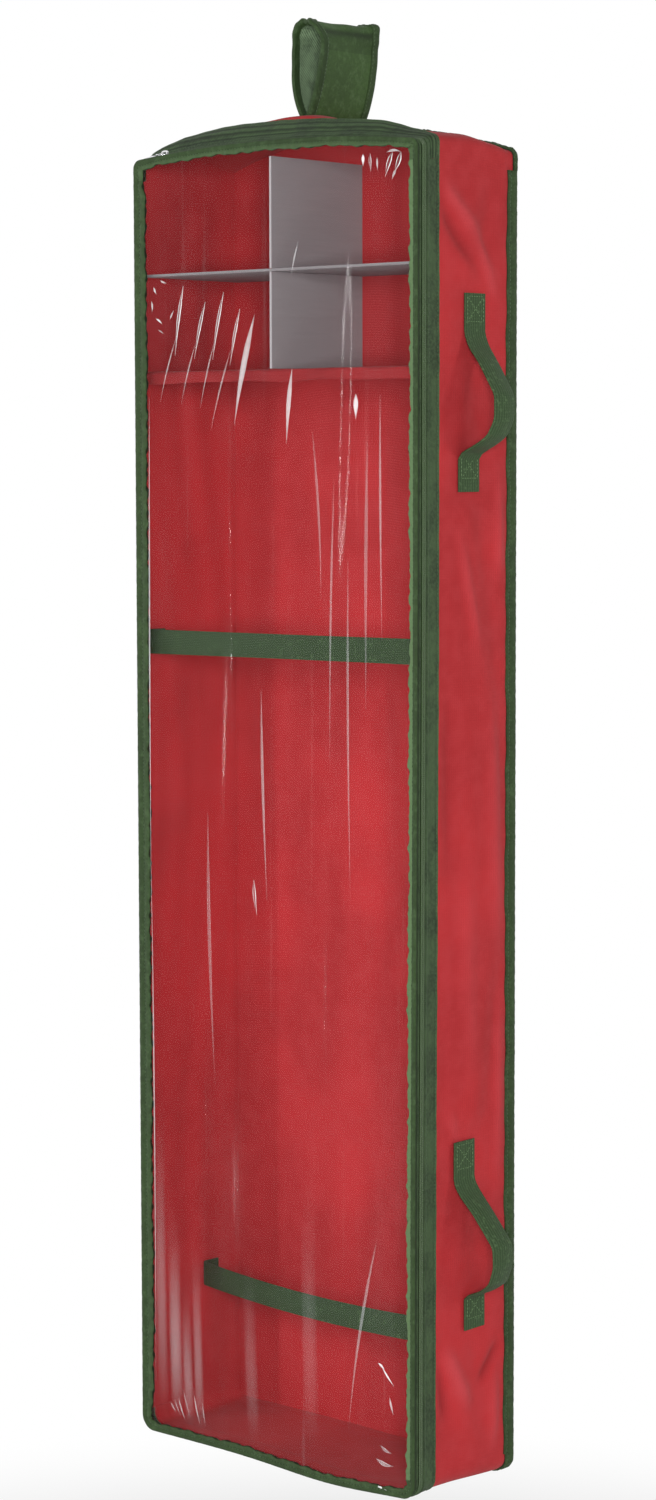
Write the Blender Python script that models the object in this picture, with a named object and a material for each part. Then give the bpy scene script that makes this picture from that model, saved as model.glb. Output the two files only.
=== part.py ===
"""Hanging gift wrap organizer: a red fabric bag behind a zipped clear cover.

The bag hangs from a loop over a rod. A chipboard divider and a mid shelf, slotted into each
other, make four cubbies over a covered shelf, and two elastic straps cross the roll bay below.
The origin is the rod's seat in the hanging loop. X is the width, -Y the front and Z is up.
"""

import math

import bmesh
import bpy
from mathutils import Matrix, Vector

# Bag
WIDTH = 0.290
DEPTH = 0.120
HEIGHT = 1.040
DOME_RISE = 0.026
COVER_BOW = 0.008
CORNER_RADIUS = 0.016
LEAST_FILLET = 0.001
WALL = 0.0016
CLEARANCE = 0.0003
OVERRUN = 0.004

# Bindings and cover
BINDING_PLY = 0.0009
FRONT_BINDING = 0.013
ZIP_BINDING = 0.008
BACK_BINDING = 0.010
HINGE_BINDING = 0.012
BINDING_FOLD = 0.002
VINYL = 0.0008

# Zip
COVER_TAPE = 0.0025
BODY_TAPE = 0.0145
ZIP_TAPE_INSET = 0.0007
ZIP_TAPE_PLY = 0.0010
COIL_DIAMETER = 0.0024
COIL_GAP = 0.0011
SLIDER_LENGTH = 0.012
SLIDER_WIDTH = 0.0076
SLIDER_THROAT = 0.0050
SLIDER_PLATE = 0.0010
SLIDER_CLEARANCE = 0.0004
SLIDER_START = 0.001
KEEL_THICKNESS = 0.0005
KEEL_LENGTH = 0.006
BRIDGE_LENGTH = 0.0070
BRIDGE_HEIGHT = 0.0034
BRIDGE_WIDTH = 0.0022
BRIDGE_BAR = 0.0011
LINK_WIRE = 0.0010
LINK_LENGTH = 0.0080
LINK_WIDTH = 0.0064
TAB_LENGTH = 0.0120
TAB_WIDTH = 0.0062
TAB_THICKNESS = 0.0010
TAB_WALL = 0.0006
PULL_DROOP = math.radians(4)

# Hanging loop
LOOP_RISE = 0.073
LOOP_WIDTH = 0.070
LOOP_BACK_GAP = 0.002
ROD_RADIUS = 0.014
LOOP_PLY = 0.0016
LINING_PLY = 0.0008
LOOP_SEAM = 0.008
LOOP_BINDING = 0.008
LOOP_BINDING_FOLD = 0.0012

# Handles
WEBBING_WIDTH = 0.0254
WEBBING_PLY = 0.0016
UPPER_HANDLE_DROP = 0.1125
LOWER_HANDLE_RISE = 0.2735
HANDLE_SETBACK = 0.064
TOP_PATCH = 0.031
BOTTOM_PATCH = 0.027
HANDLE_SPAN = 0.093
HANDLE_STANDOFF = 0.032
HANDLE_CUT_STANDOFF = 0.0075
HANDLE_SHAPES_SHARES = {
    "upper": ((0, 0), (0.10, 0.13), (0.25, 0.48), (0.50, 0.97), (0.70, 1.0), (0.84, 0.80),
              (0.93, 0.36), (0.975, 0.06), (1, 0)),
    "lower": ((0, 0), (0.10, 0.14), (0.26, 0.50), (0.52, 1.0), (0.70, 0.97), (0.86, 0.78),
              (0.95, 0.40), (0.985, 0.07), (1, 0)),
}

# Boards, shelf and elastic straps
BOARD = 0.0020
INSERT_SETBACK = 0.004
DIVIDER_SHIFT = -0.008
DIVIDER_DROP = 0.004
MID_SHELF_DROP = 0.0905
LOWER_SHELF_DROP = 0.168
SHELF_BOARD = 0.0030
SLEEVE_PLY = 0.0008
HEM_HEIGHT = 0.010
ELASTIC_WIDTH = 0.020
ELASTIC_PLY = 0.0012
ELASTIC_TAB = 0.016
ELASTIC_BEND = 0.0025
UPPER_ELASTIC_DROP = 0.386
UPPER_ELASTIC_SETBACK = 0.012
LOWER_ELASTIC_RISE = 0.122
LOWER_ELASTIC_LEFT_SETBACK = 0.072
LOWER_ELASTIC_RIGHT_SETBACK = 0.026
LOWER_ELASTIC_BOW = 0.010

# Places that follow from those sizes
COVER_THICKNESS = 2 * BINDING_PLY + VINYL + 2 * CLEARANCE
CHAIN_START = COVER_THICKNESS + CLEARANCE
COVER_COIL = CHAIN_START + COVER_TAPE + CLEARANCE
BODY_COIL = COVER_COIL + COIL_DIAMETER + COIL_GAP
BODY_TAPE_START = BODY_COIL + COIL_DIAMETER + CLEARANCE
BODY_TAPE_END = BODY_TAPE_START + BODY_TAPE
FRONT_Y = BACK_BINDING + LOOP_BACK_GAP + LOOP_WIDTH / 2 - DEPTH
BACK_Y = FRONT_Y + DEPTH
TOP_Z = -LOOP_RISE - DOME_RISE
BOTTOM_Z = TOP_Z - HEIGHT
SIDE_TOP_Z = TOP_Z - CORNER_RADIUS
SIDE_BOTTOM_Z = BOTTOM_Z + CORNER_RADIUS
HANDLE_TOPS = {"upper": TOP_Z - UPPER_HANDLE_DROP, "lower": BOTTOM_Z + LOWER_HANDLE_RISE}
WALL_INSET = BINDING_PLY + CLEARANCE
INNER_INSET = WALL_INSET + WALL
INNER_HALF = WIDTH / 2 - INNER_INSET
BACK_PANEL_Y = BACK_Y - WALL_INSET - WALL
INSERT_FRONT_Y = FRONT_Y + COVER_THICKNESS + INSERT_SETBACK

RED_FABRIC = ("red_fabric", (0.43, 0.035, 0.042), 0.85, 0.0)
GREEN_BINDING = ("green_binding", (0.045, 0.105, 0.045), 0.7, 0.0)
GREEN_TAPE = ("green_twill_tape", (0.055, 0.125, 0.055), 0.75, 0.0)
GREEN_COIL = ("green_nylon_coil", (0.050, 0.115, 0.050), 0.45, 0.0)
GREEN_ELASTIC = ("green_elastic", (0.040, 0.095, 0.042), 0.8, 0.0)
GREEN_WEBBING = ("green_webbing", (0.045, 0.110, 0.050), 0.7, 0.0)
CLEAR_VINYL = ("clear_vinyl", (0.90, 0.92, 0.92), 0.08, 0.0)
GREY_BOARD = ("grey_chipboard", (0.20, 0.17, 0.19), 0.8, 0.0)
BRIGHT_METAL = ("bright_metal", (0.75, 0.75, 0.76), 0.25, 1.0)

ARC_STEPS = 28
FILLET_STEPS = 6
LOOP_STEPS = 20
CROSSING_STEPS = 20
BARREL_SIDES = 16


def clear_scene():
    """Remove every object that the scene holds."""
    for item in list(bpy.data.objects):
        bpy.data.objects.remove(item, do_unlink=True)


def make_collection(name):
    """Link a new collection to the scene."""
    group = bpy.data.collections.new(name)
    bpy.context.scene.collection.children.link(group)
    return group


def make_material(obj, finish):
    """Give an object its own Principled material."""
    name, colour, roughness, metallic = finish
    material = bpy.data.materials.new(f"{obj.name}_{name}")
    material.use_nodes = True
    shader = material.node_tree.nodes["Principled BSDF"]
    shader.inputs["Base Color"].default_value = (*colour, 1.0)
    shader.inputs["Roughness"].default_value = roughness
    shader.inputs["Metallic"].default_value = metallic
    obj.data.materials.append(material)


def link_mesh(name, mesh, group):
    """Make an object of a mesh in a collection."""
    obj = bpy.data.objects.new(name, mesh)
    group.objects.link(obj)
    return obj


def box(name, low, high, group):
    """A box between two corners, with its origin at its middle."""
    low, high = Vector(low), Vector(high)
    size = high - low
    shape = bmesh.new()
    bmesh.ops.create_cube(shape, size=1)
    bmesh.ops.scale(shape, vec=size, verts=shape.verts)
    mesh = bpy.data.meshes.new(name)
    shape.to_mesh(mesh)
    shape.free()
    obj = link_mesh(name, mesh, group)
    obj.location = (low + high) / 2
    return obj


def curve_to_mesh(name, curve_object, group):
    """Turn a curve into a welded mesh object in the same place."""
    bpy.context.view_layer.update()
    graph = bpy.context.evaluated_depsgraph_get()
    mesh = bpy.data.meshes.new_from_object(curve_object.evaluated_get(graph))
    place = curve_object.matrix_world.copy()
    bpy.data.objects.remove(curve_object, do_unlink=True)
    shape = bmesh.new()
    shape.from_mesh(mesh)
    bmesh.ops.remove_doubles(shape, verts=shape.verts, dist=CLEARANCE / 100)
    bmesh.ops.recalc_face_normals(shape, faces=shape.faces)
    shape.to_mesh(mesh)
    shape.free()
    mesh.name = name
    obj = link_mesh(name, mesh, group)
    obj.matrix_world = place
    return obj


def flat_curve(outline, thickness):
    """A filled flat outline of the given thickness, as a curve object."""
    data = bpy.data.curves.new("outline", "CURVE")
    data.dimensions = "2D"
    data.fill_mode = "BOTH"
    data.extrude = thickness / 2
    spline = data.splines.new("POLY")
    spline.points.add(len(outline) - 1)
    for point, (across, up) in zip(spline.points, outline):
        point.co = (across, up, 0, 1)
    spline.use_cyclic_u = True
    obj = bpy.data.objects.new("outline", data)
    bpy.context.scene.collection.objects.link(obj)
    return obj


def slab(name, outline, front, back, group):
    """An outline in X and Z, extruded from one Y to another."""
    obj = flat_curve(outline, back - front)
    obj.rotation_euler.x = math.radians(90)
    obj.location.y = (front + back) / 2
    return curve_to_mesh(name, obj, group)


def plan_slab(name, outline, low, high, group):
    """An outline in X and Y, extruded from one Z to another."""
    obj = flat_curve(outline, high - low)
    obj.location.z = (low + high) / 2
    return curve_to_mesh(name, obj, group)


def loft(name, front_outline, back_outline, front, back, group):
    """A solid between two outlines in X and Z that have as many points."""
    shape = bmesh.new()
    rings = []
    for outline, depth in ((front_outline, front), (back_outline, back)):
        rings.append([shape.verts.new((across, depth, up)) for across, up in outline])
    count = len(front_outline)
    for index in range(count):
        after = (index + 1) % count
        corners = (rings[0][index], rings[0][after], rings[1][after], rings[1][index])
        shape.faces.new(corners)
    half = count // 2
    for ring in rings:
        for index in range(half - 1):
            shape.faces.new((ring[index], ring[index + 1], ring[-index - 2], ring[-index - 1]))
    bmesh.ops.recalc_face_normals(shape, faces=shape.faces)
    mesh = bpy.data.meshes.new(name)
    shape.to_mesh(mesh)
    shape.free()
    return link_mesh(name, mesh, group)


def tube(name, points, diameter, group, closed=False):
    """A round tube along a list of points, with its ends filled or joined."""
    data = bpy.data.curves.new(name, "CURVE")
    data.dimensions = "3D"
    data.bevel_depth = diameter / 2
    data.bevel_resolution = 2
    data.use_fill_caps = True
    spline = data.splines.new("POLY")
    spline.points.add(len(points) - 1)
    for point, place in zip(spline.points, points):
        point.co = (*place, 1)
    spline.use_cyclic_u = closed
    obj = bpy.data.objects.new(name, data)
    bpy.context.scene.collection.objects.link(obj)
    return curve_to_mesh(name, obj, group)


def smooth(obj):
    """Shade an object smooth apart from its sharp edges."""
    obj.data.shade_smooth()
    obj.data.set_sharp_from_angle(angle=math.radians(40))


def make_pivot(name, place, parent, group):
    """An empty on a joint's axis, which carries the pieces that move about it."""
    pivot = bpy.data.objects.new(name, None)
    pivot.empty_display_size = CORNER_RADIUS
    group.objects.link(pivot)
    pivot.location = place
    bpy.context.view_layer.update()
    if parent:
        carry(parent, [pivot])
    return pivot


def carry(pivot, items):
    """Parent objects to a pivot and leave them where they are."""
    bpy.context.view_layer.update()
    for item in items:
        item.parent = pivot
        item.matrix_parent_inverse = pivot.matrix_world.inverted()


def boolean(obj, other, operation):
    """Cut, keep or join an object with another, which is set aside."""
    modifier = obj.modifiers.new(operation.lower(), "BOOLEAN")
    modifier.object = other
    modifier.operation = operation
    modifier.solver = "EXACT"
    other.hide_render = True
    other.display_type = "WIRE"
    return obj


def top_run(inset, rise):
    """The bag's outline over the top in X and Z, from the left side to the right.

    The top is an arc through both corners, and a fillet meets each side.
    """
    half = WIDTH / 2
    arc = (half ** 2 + rise ** 2) / (2 * rise)
    centre_z = TOP_Z + rise - arc
    fillet = max(CORNER_RADIUS - inset, LEAST_FILLET)
    fillet_x = half - inset - fillet
    reach = arc - inset - fillet
    fillet_z = centre_z + math.sqrt(reach ** 2 - fillet_x ** 2)
    lean = math.asin(fillet_x / reach)
    right = []
    for step in range(ARC_STEPS // 2 + 1):
        angle = lean * 2 * step / ARC_STEPS
        right.append((math.sin(angle) * (arc - inset), centre_z + math.cos(angle) * (arc - inset)))
    for step in range(1, FILLET_STEPS + 1):
        angle = lean + (math.pi / 2 - lean) * step / FILLET_STEPS
        right.append((fillet_x + math.sin(angle) * fillet, fillet_z + math.cos(angle) * fillet))
    right.append((half - inset, SIDE_TOP_Z))
    left = [(-across, up) for across, up in reversed(right[1:])]
    return left + right


def bottom_run(inset):
    """The outline under the bottom in X and Z, from the right side to the left."""
    fillet = max(CORNER_RADIUS - inset, LEAST_FILLET)
    fillet_x = WIDTH / 2 - inset - fillet
    fillet_z = BOTTOM_Z + inset + fillet
    right = [(WIDTH / 2 - inset, SIDE_BOTTOM_Z)]
    first = 0 if fillet_z < SIDE_BOTTOM_Z else 1
    for step in range(first, FILLET_STEPS + 1):
        angle = math.pi / 2 * step / FILLET_STEPS
        right.append((fillet_x + math.cos(angle) * fillet, fillet_z - math.sin(angle) * fillet))
    return right + [(-across, up) for across, up in reversed(right)]


def full_outline(inset, rise):
    """The closed outline of the bag in X and Z."""
    return top_run(inset, rise) + bottom_run(inset)


def band(outer, inner):
    """The closed outline between two runs."""
    return outer + inner[::-1]


def side_box(name, side, insets, depths, group):
    """A straight strip up one side, between two insets and two depths."""
    near, far = (side * (WIDTH / 2 - inset) for inset in insets)
    low = (min(near, far), FRONT_Y + depths[0], SIDE_BOTTOM_Z + CLEARANCE)
    high = (max(near, far), FRONT_Y + depths[1], SIDE_TOP_Z - CLEARANCE)
    return box(name, low, high, group)


def arc_frame():
    """The radius and centre height of the arc along the cover's top edge."""
    radius = ((WIDTH / 2) ** 2 + COVER_BOW ** 2) / (2 * COVER_BOW)
    return radius, TOP_Z + COVER_BOW - radius


def slider_angle():
    """How far the resting slider lies from the crown, about the arc's centre."""
    radius, _ = arc_frame()
    reach = WIDTH / 2 - CORNER_RADIUS - SLIDER_LENGTH / 2 - SLIDER_START
    return math.asin(reach / radius)


def smooth_path(points, per_span):
    """A Catmull-Rom curve through points, as a list."""
    padded = [points[0], *points, points[-1]]
    path = []
    for first, start, end, last in zip(padded, padded[1:], padded[2:], padded[3:]):
        for step in range(per_span):
            share = step / per_span
            path.append(tuple(
                0.5 * (2 * b + (c - a) * share + (2 * a - 5 * b + 4 * c - d) * share ** 2
                       + (3 * b - a - 3 * c + d) * share ** 3)
                for a, b, c, d in zip(first, start, end, last)))
    path.append(tuple(points[-1]))
    return path


def offset_path(path, distance):
    """The path moved sideways, to its left, by a distance."""
    moved = []
    for index, here in enumerate(path):
        before = path[max(index - 1, 0)]
        after = path[min(index + 1, len(path) - 1)]
        arrive = Vector(here) - Vector(before) if index else Vector(after) - Vector(here)
        leave = Vector(after) - Vector(here) if index < len(path) - 1 else arrive
        arrive, leave = arrive.normalized(), leave.normalized()
        normal = Vector((-arrive.y - leave.y, arrive.x + leave.x)).normalized()
        reach = distance / max(normal.dot(Vector((-arrive.y, arrive.x))), 0.5)
        moved.append((here[0] + normal.x * reach, here[1] + normal.y * reach))
    return moved


def ribbon_outline(path, thickness):
    """The closed outline of a band of some thickness along a flat path."""
    return offset_path(path, thickness / 2) + offset_path(path, -thickness / 2)[::-1]


def make_shell(group):
    """The red panels of the bag."""
    walls = (WALL_INSET, INNER_INSET)
    panel = slab("back_panel", full_outline(WALL_INSET, DOME_RISE), BACK_PANEL_Y,
                 BACK_PANEL_Y + WALL, group)
    make_material(panel, RED_FABRIC)
    inner_depth = BACK_PANEL_Y - FRONT_Y - CLEARANCE
    fronts = {"left": CHAIN_START, "right": BODY_TAPE_END + CLEARANCE}
    for name, side in (("left", -1), ("right", 1)):
        panel = side_box(f"{name}_panel", side, walls, (fronts[name], inner_depth), group)
        make_material(panel, RED_FABRIC)
    over = band(top_run(WALL_INSET, DOME_RISE), top_run(INNER_INSET, DOME_RISE))
    under = band(bottom_run(WALL_INSET), bottom_run(INNER_INSET))
    for name, outline in (("top_panel", over), ("bottom_panel", under)):
        panel = slab(name, outline, FRONT_Y + fronts["right"], FRONT_Y + inner_depth, group)
        make_material(panel, RED_FABRIC)


def make_back_bindings(group, cutters):
    """L-folded bindings round the back edge of the bag."""
    start = BACK_Y - BACK_BINDING
    hollow = slab("back_binding_cutter", full_outline(BINDING_PLY, DOME_RISE), start - OVERRUN,
                  BACK_Y - BINDING_PLY, cutters)
    insets = (0, BACK_BINDING)
    depths = (DEPTH - BACK_BINDING, DEPTH)
    over = band(*(top_run(inset, DOME_RISE) for inset in insets))
    under = band(*(bottom_run(inset) for inset in insets))
    strips = [side_box("back_binding_left", -1, insets, depths, group),
              side_box("back_binding_right", 1, insets, depths, group),
              slab("back_binding_top", over, start, BACK_Y, group),
              slab("back_binding_bottom", under, start, BACK_Y, group)]
    for strip in strips:
        boolean(strip, hollow, "DIFFERENCE")
        make_material(strip, GREEN_BINDING)
    hinge = side_box("hinge_binding", -1, (0, BINDING_PLY),
                     (CHAIN_START, CHAIN_START + HINGE_BINDING), group)
    make_material(hinge, GREEN_BINDING)


def make_zip_tapes(group):
    """Both tapes of the zip, over the top, down the right side and under the bottom."""
    insets = (ZIP_TAPE_INSET, ZIP_TAPE_INSET + ZIP_TAPE_PLY)
    front_over = band(*(top_run(inset, COVER_BOW) for inset in insets))
    back_over = band(*(top_run(inset, DOME_RISE) for inset in insets))
    under = band(*(bottom_run(inset) for inset in insets))
    spans = {"cover_zip_tape": (CHAIN_START, CHAIN_START + COVER_TAPE),
             "body_zip_tape": (BODY_TAPE_START, BODY_TAPE_END)}
    for name, (start, end) in spans.items():
        far_over = back_over if name == "body_zip_tape" else front_over
        places = (FRONT_Y + start, FRONT_Y + end)
        pieces = [loft(f"{name}_top", front_over, far_over, *places, group),
                  side_box(f"{name}_right", 1, insets, (start, end), group),
                  slab(f"{name}_bottom", under, *places, group)]
        for piece in pieces:
            make_material(piece, GREEN_TAPE)


def make_coils(group):
    """The two halves of the zip coil, from the left top corner to the left bottom corner."""
    path = full_outline(COIL_DIAMETER / 2, COVER_BOW)
    for name, depth in (("cover_zip_coil", COVER_COIL), ("body_zip_coil", BODY_COIL)):
        centre = FRONT_Y + depth + COIL_DIAMETER / 2
        coil = tube(name, [(across, centre, up) for across, up in path], COIL_DIAMETER, group)
        smooth(coil)
        make_material(coil, GREEN_COIL)


def make_cover(group, cutters):
    """The clear window in its folded bindings."""
    middle = FRONT_Y + COVER_THICKNESS / 2
    window = slab("cover_window", full_outline(BINDING_FOLD + CLEARANCE, COVER_BOW),
                  middle - VINYL / 2, middle + VINYL / 2, group)
    make_material(window, CLEAR_VINYL)
    slot = VINYL / 2 + CLEARANCE
    cutter = slab("cover_slot_cutter", full_outline(BINDING_FOLD, COVER_BOW), middle - slot,
                  middle + slot, cutters)
    insets = (0, ZIP_BINDING)
    depths = (0, COVER_THICKNESS)
    over = band(*(top_run(inset, COVER_BOW) for inset in insets))
    under = band(*(bottom_run(inset) for inset in insets))
    ends = (FRONT_Y, FRONT_Y + COVER_THICKNESS)
    strips = [side_box("cover_binding_left", -1, (0, FRONT_BINDING), depths, group),
              side_box("cover_binding_right", 1, insets, depths, group),
              slab("cover_binding_top", over, *ends, group),
              slab("cover_binding_bottom", under, *ends, group)]
    for strip in strips:
        boolean(strip, cutter, "DIFFERENCE")
        make_material(strip, GREEN_BINDING)


def on_arc(obj, angle, radius, centre_z):
    """Turn an object, made at the crown, about the arc's centre."""
    depth = FRONT_Y + BODY_COIL - COIL_GAP / 2
    obj.data.transform(obj.matrix_world)
    obj.data.transform(Matrix.Translation((0, 0, radius)))
    obj.matrix_world = Matrix.Translation((0, depth, centre_z)) @ Matrix.Rotation(angle, 4, "Y")


def slider_plate(name, low, high, group):
    """One plate of the slider: wide at its mouth and narrower at its tail."""
    half, tail = SLIDER_LENGTH / 2, SLIDER_THROAT / 2
    wide = SLIDER_WIDTH / 2
    outline = [(-half, wide / 2), (-half + wide / 2, wide), (0, wide), (half, tail), (half, -tail),
               (0, -wide), (-half + wide / 2, -wide), (-half, -wide / 2)]
    return plan_slab(name, outline[::-1], low, high, group)


def make_slider(group, cutters):
    """The slider: two plates round the coils, a keel between them and a bridge on top."""
    radius, centre_z = arc_frame()
    under = -COIL_DIAMETER - SLIDER_CLEARANCE
    slider = slider_plate("zip_slider", SLIDER_CLEARANCE, SLIDER_CLEARANCE + SLIDER_PLATE, group)
    lower = slider_plate("slider_lower_plate", under - SLIDER_PLATE, under, cutters)
    keel = box("slider_keel", (-SLIDER_LENGTH / 2, -KEEL_THICKNESS / 2, under - SLIDER_PLATE / 2),
               (-SLIDER_LENGTH / 2 + KEEL_LENGTH, KEEL_THICKNESS / 2,
                SLIDER_CLEARANCE + SLIDER_PLATE / 2), cutters)
    foot = SLIDER_CLEARANCE + SLIDER_PLATE / 2
    crown = SLIDER_CLEARANCE + SLIDER_PLATE + BRIDGE_HEIGHT
    half = BRIDGE_LENGTH / 2
    slope = BRIDGE_HEIGHT / 2
    arch = [(-half, foot), (-half, crown - slope), (-half + slope, crown), (half - slope, crown),
            (half, crown - slope), (half, foot), (half - BRIDGE_BAR, foot),
            (half - BRIDGE_BAR, crown - slope), (half - slope, crown - BRIDGE_BAR),
            (-half + slope, crown - BRIDGE_BAR), (-half + BRIDGE_BAR, crown - slope),
            (-half + BRIDGE_BAR, foot)]
    bridge = slab("slider_bridge", arch[::-1], -BRIDGE_WIDTH / 2, BRIDGE_WIDTH / 2, cutters)
    for piece in (slider, lower, keel, bridge):
        bpy.context.view_layer.update()
        on_arc(piece, -slider_angle(), radius, centre_z)
    for piece in (lower, keel, bridge):
        boolean(slider, piece, "UNION")
    make_material(slider, BRIGHT_METAL)


def pull_height():
    """The height of the pull's pivot over the chain: the middle of the bridge's eye."""
    return SLIDER_CLEARANCE + SLIDER_PLATE + (BRIDGE_HEIGHT - BRIDGE_BAR) / 2


def cylinder_along_y(name, diameter, length, group):
    """A round bar along Y about its own middle."""
    shape = bmesh.new()
    bmesh.ops.create_cone(shape, cap_ends=True, segments=BARREL_SIDES, radius1=diameter / 2,
                          radius2=diameter / 2, depth=length)
    bmesh.ops.rotate(shape, verts=shape.verts, matrix=Matrix.Rotation(math.radians(90), 3, "X"))
    mesh = bpy.data.meshes.new(name)
    shape.to_mesh(mesh)
    shape.free()
    return link_mesh(name, mesh, group)


def make_pull(group, cutters):
    """The pull: a wire link through the bridge and a tab whose barrel turns on the link."""
    pivot = Matrix.Translation(chain_place(pull_height()))
    place = pivot @ Matrix.Rotation(-slider_angle() - PULL_DROOP, 4, "Y")
    half, corner = (LINK_WIDTH - LINK_WIRE) / 2, LINK_WIRE / 2
    loop = [(0, half - corner), (-corner, half), (corner - LINK_LENGTH, half),
            (-LINK_LENGTH, half - corner)]
    points = [(x, y, 0) for x, y in loop] + [(x, -y, 0) for x, y in reversed(loop)]
    link = tube("pull_link", points, LINK_WIRE, group, closed=True)
    bore = LINK_WIRE + 2 * CLEARANCE
    barrel_width = 2 * (half - corner - CLEARANCE) - LINK_WIRE
    neck = LINK_LENGTH + bore / 2 + TAB_WALL / 3
    shoulder = LINK_LENGTH + LINK_WIRE + TAB_WALL
    end = shoulder + TAB_LENGTH
    wide, narrow = TAB_WIDTH / 2, barrel_width / 2 - CLEARANCE
    outline = [(-neck, narrow), (-neck, -narrow), (-shoulder, -narrow), (-shoulder - narrow, -wide),
               (-end + narrow, -wide), (-end, -wide / 2), (-end, wide / 2), (-end + narrow, wide),
               (-shoulder - narrow, wide), (-shoulder, narrow)]
    tab = plan_slab("pull_tab", outline[::-1], -TAB_THICKNESS / 2, TAB_THICKNESS / 2, group)
    barrel = cylinder_along_y("tab_barrel", bore + 2 * TAB_WALL, barrel_width, cutters)
    hole = cylinder_along_y("tab_bore_cutter", bore, LINK_WIDTH, cutters)
    for piece in (barrel, hole):
        piece.data.transform(Matrix.Translation((-LINK_LENGTH, 0, 0)))
    for piece in (link, tab, barrel, hole):
        piece.matrix_world = place
    boolean(tab, barrel, "UNION")
    boolean(tab, hole, "DIFFERENCE")
    smooth(link)
    make_material(link, BRIGHT_METAL)
    make_material(tab, BRIGHT_METAL)


def loop_knuckle():
    """The radius of the loop's sewn end, from its lining to its outer binding."""
    return 2 * CLEARANCE + LINING_PLY + LOOP_PLY + CLEARANCE / 2 + CLEARANCE + BINDING_PLY


def loop_axis_z():
    """The height of the seam that the loop folds at."""
    return TOP_Z + DOME_RISE - WALL_INSET + CLEARANCE + loop_knuckle()


def loop_run(offset):
    """One surface of the hanging loop, an offset out from the seat, in X and Z.

    It starts at the foot of the right leg, goes round the rod and ends at the left foot.
    """
    axis_z = loop_axis_z()
    gap = CLEARANCE / 2
    bend = Vector((gap, axis_z + LOOP_SEAM))
    centre = Vector((0, -ROD_RADIUS))
    away = centre - bend
    lean = math.asin((ROD_RADIUS) / away.length)
    turn = math.atan2(away.x, away.y) + lean
    radius = ROD_RADIUS + offset
    foot_x = gap + offset
    right = [(foot_x, axis_z - math.sqrt(max(loop_knuckle() ** 2 - foot_x ** 2, 0)))]
    right.append((foot_x, bend.y + offset * math.tan(-turn / 2)))
    start = -turn
    for step in range(LOOP_STEPS + 1):
        angle = start + (math.pi / 2 - start) * step / LOOP_STEPS
        right.append((centre.x + math.cos(angle) * radius, centre.y + math.sin(angle) * radius))
    return right + [(-across, up) for across, up in reversed(right[:-1])]


def make_hanging_loop(group, cutters):
    """The strap over the rod, its lining and the bindings on both its edges."""
    strap_in = LINING_PLY + CLEARANCE
    strap_out = strap_in + LOOP_PLY
    outside = strap_out + CLEARANCE + BINDING_PLY
    inner_edge = LOOP_WIDTH / 2 - LOOP_BINDING
    fold = LOOP_WIDTH / 2 - LOOP_BINDING_FOLD
    lining = slab("loop_lining", band(loop_run(0), loop_run(LINING_PLY)), -inner_edge, inner_edge,
                  group)
    strap = slab("loop_strap", band(loop_run(strap_in), loop_run(strap_out)), -fold + CLEARANCE,
                 fold - CLEARANCE, group)
    make_material(lining, GREEN_TAPE)
    make_material(strap, GREEN_BINDING)
    room = band(loop_run(strap_in - CLEARANCE), loop_run(strap_out + CLEARANCE))
    slot = slab("loop_slot_cutter", room, -fold, fold, cutters)
    wrap = band(loop_run(0), loop_run(outside))
    for name, side in (("front", -1), ("back", 1)):
        ends = sorted((side * (inner_edge + CLEARANCE), side * LOOP_WIDTH / 2))
        binding = slab(f"loop_binding_{name}", wrap, *ends, group)
        boolean(binding, slot, "DIFFERENCE")
        make_material(binding, GREEN_BINDING)


def handle_path(which):
    """The middle of a handle's webbing in X and Z, from its top end to its bottom end."""
    surface = WIDTH / 2 - WALL_INSET + CLEARANCE + WEBBING_PLY / 2
    top = HANDLE_TOPS[which]
    start = top - TOP_PATCH
    bow = [(surface + out * HANDLE_STANDOFF, start - down * HANDLE_SPAN)
           for down, out in HANDLE_SHAPES_SHARES[which]]
    bottom = start - HANDLE_SPAN - BOTTOM_PATCH
    return [(surface, top)] + smooth_path(bow, 4) + [(surface, bottom)]


def handle_cuts(path):
    """The two heights where the webbing stands off enough to swing."""
    limit = path[0][0] + HANDLE_CUT_STANDOFF
    clear = [up for across, up in path if across > limit]
    return max(clear), min(clear)


def make_handle(which, group, cutters):
    """One webbing handle: a sewn patch at each end and the free loop between them."""
    path = handle_path(which)
    upper_cut, lower_cut = handle_cuts(path)
    outline = ribbon_outline(path, WEBBING_PLY)
    front = FRONT_Y + HANDLE_SETBACK - WEBBING_WIDTH / 2
    reach = path[0][0] + HANDLE_STANDOFF + OVERRUN
    gap = CLEARANCE / 2
    heights = {"top_patch": (upper_cut + gap, path[0][1] + OVERRUN),
               "loop": (lower_cut + gap, upper_cut - gap),
               "bottom_patch": (path[-1][1] - OVERRUN, lower_cut - gap)}
    for name, (low, high) in heights.items():
        piece = slab(f"{which}_handle_{name}", outline, front, front + WEBBING_WIDTH, group)
        keeper = box(f"{which}_handle_{name}_keeper", (0, front - OVERRUN, low),
                     (reach, front + WEBBING_WIDTH + OVERRUN, high), cutters)
        boolean(piece, keeper, "INTERSECT")
        make_material(piece, GREEN_WEBBING)


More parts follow.
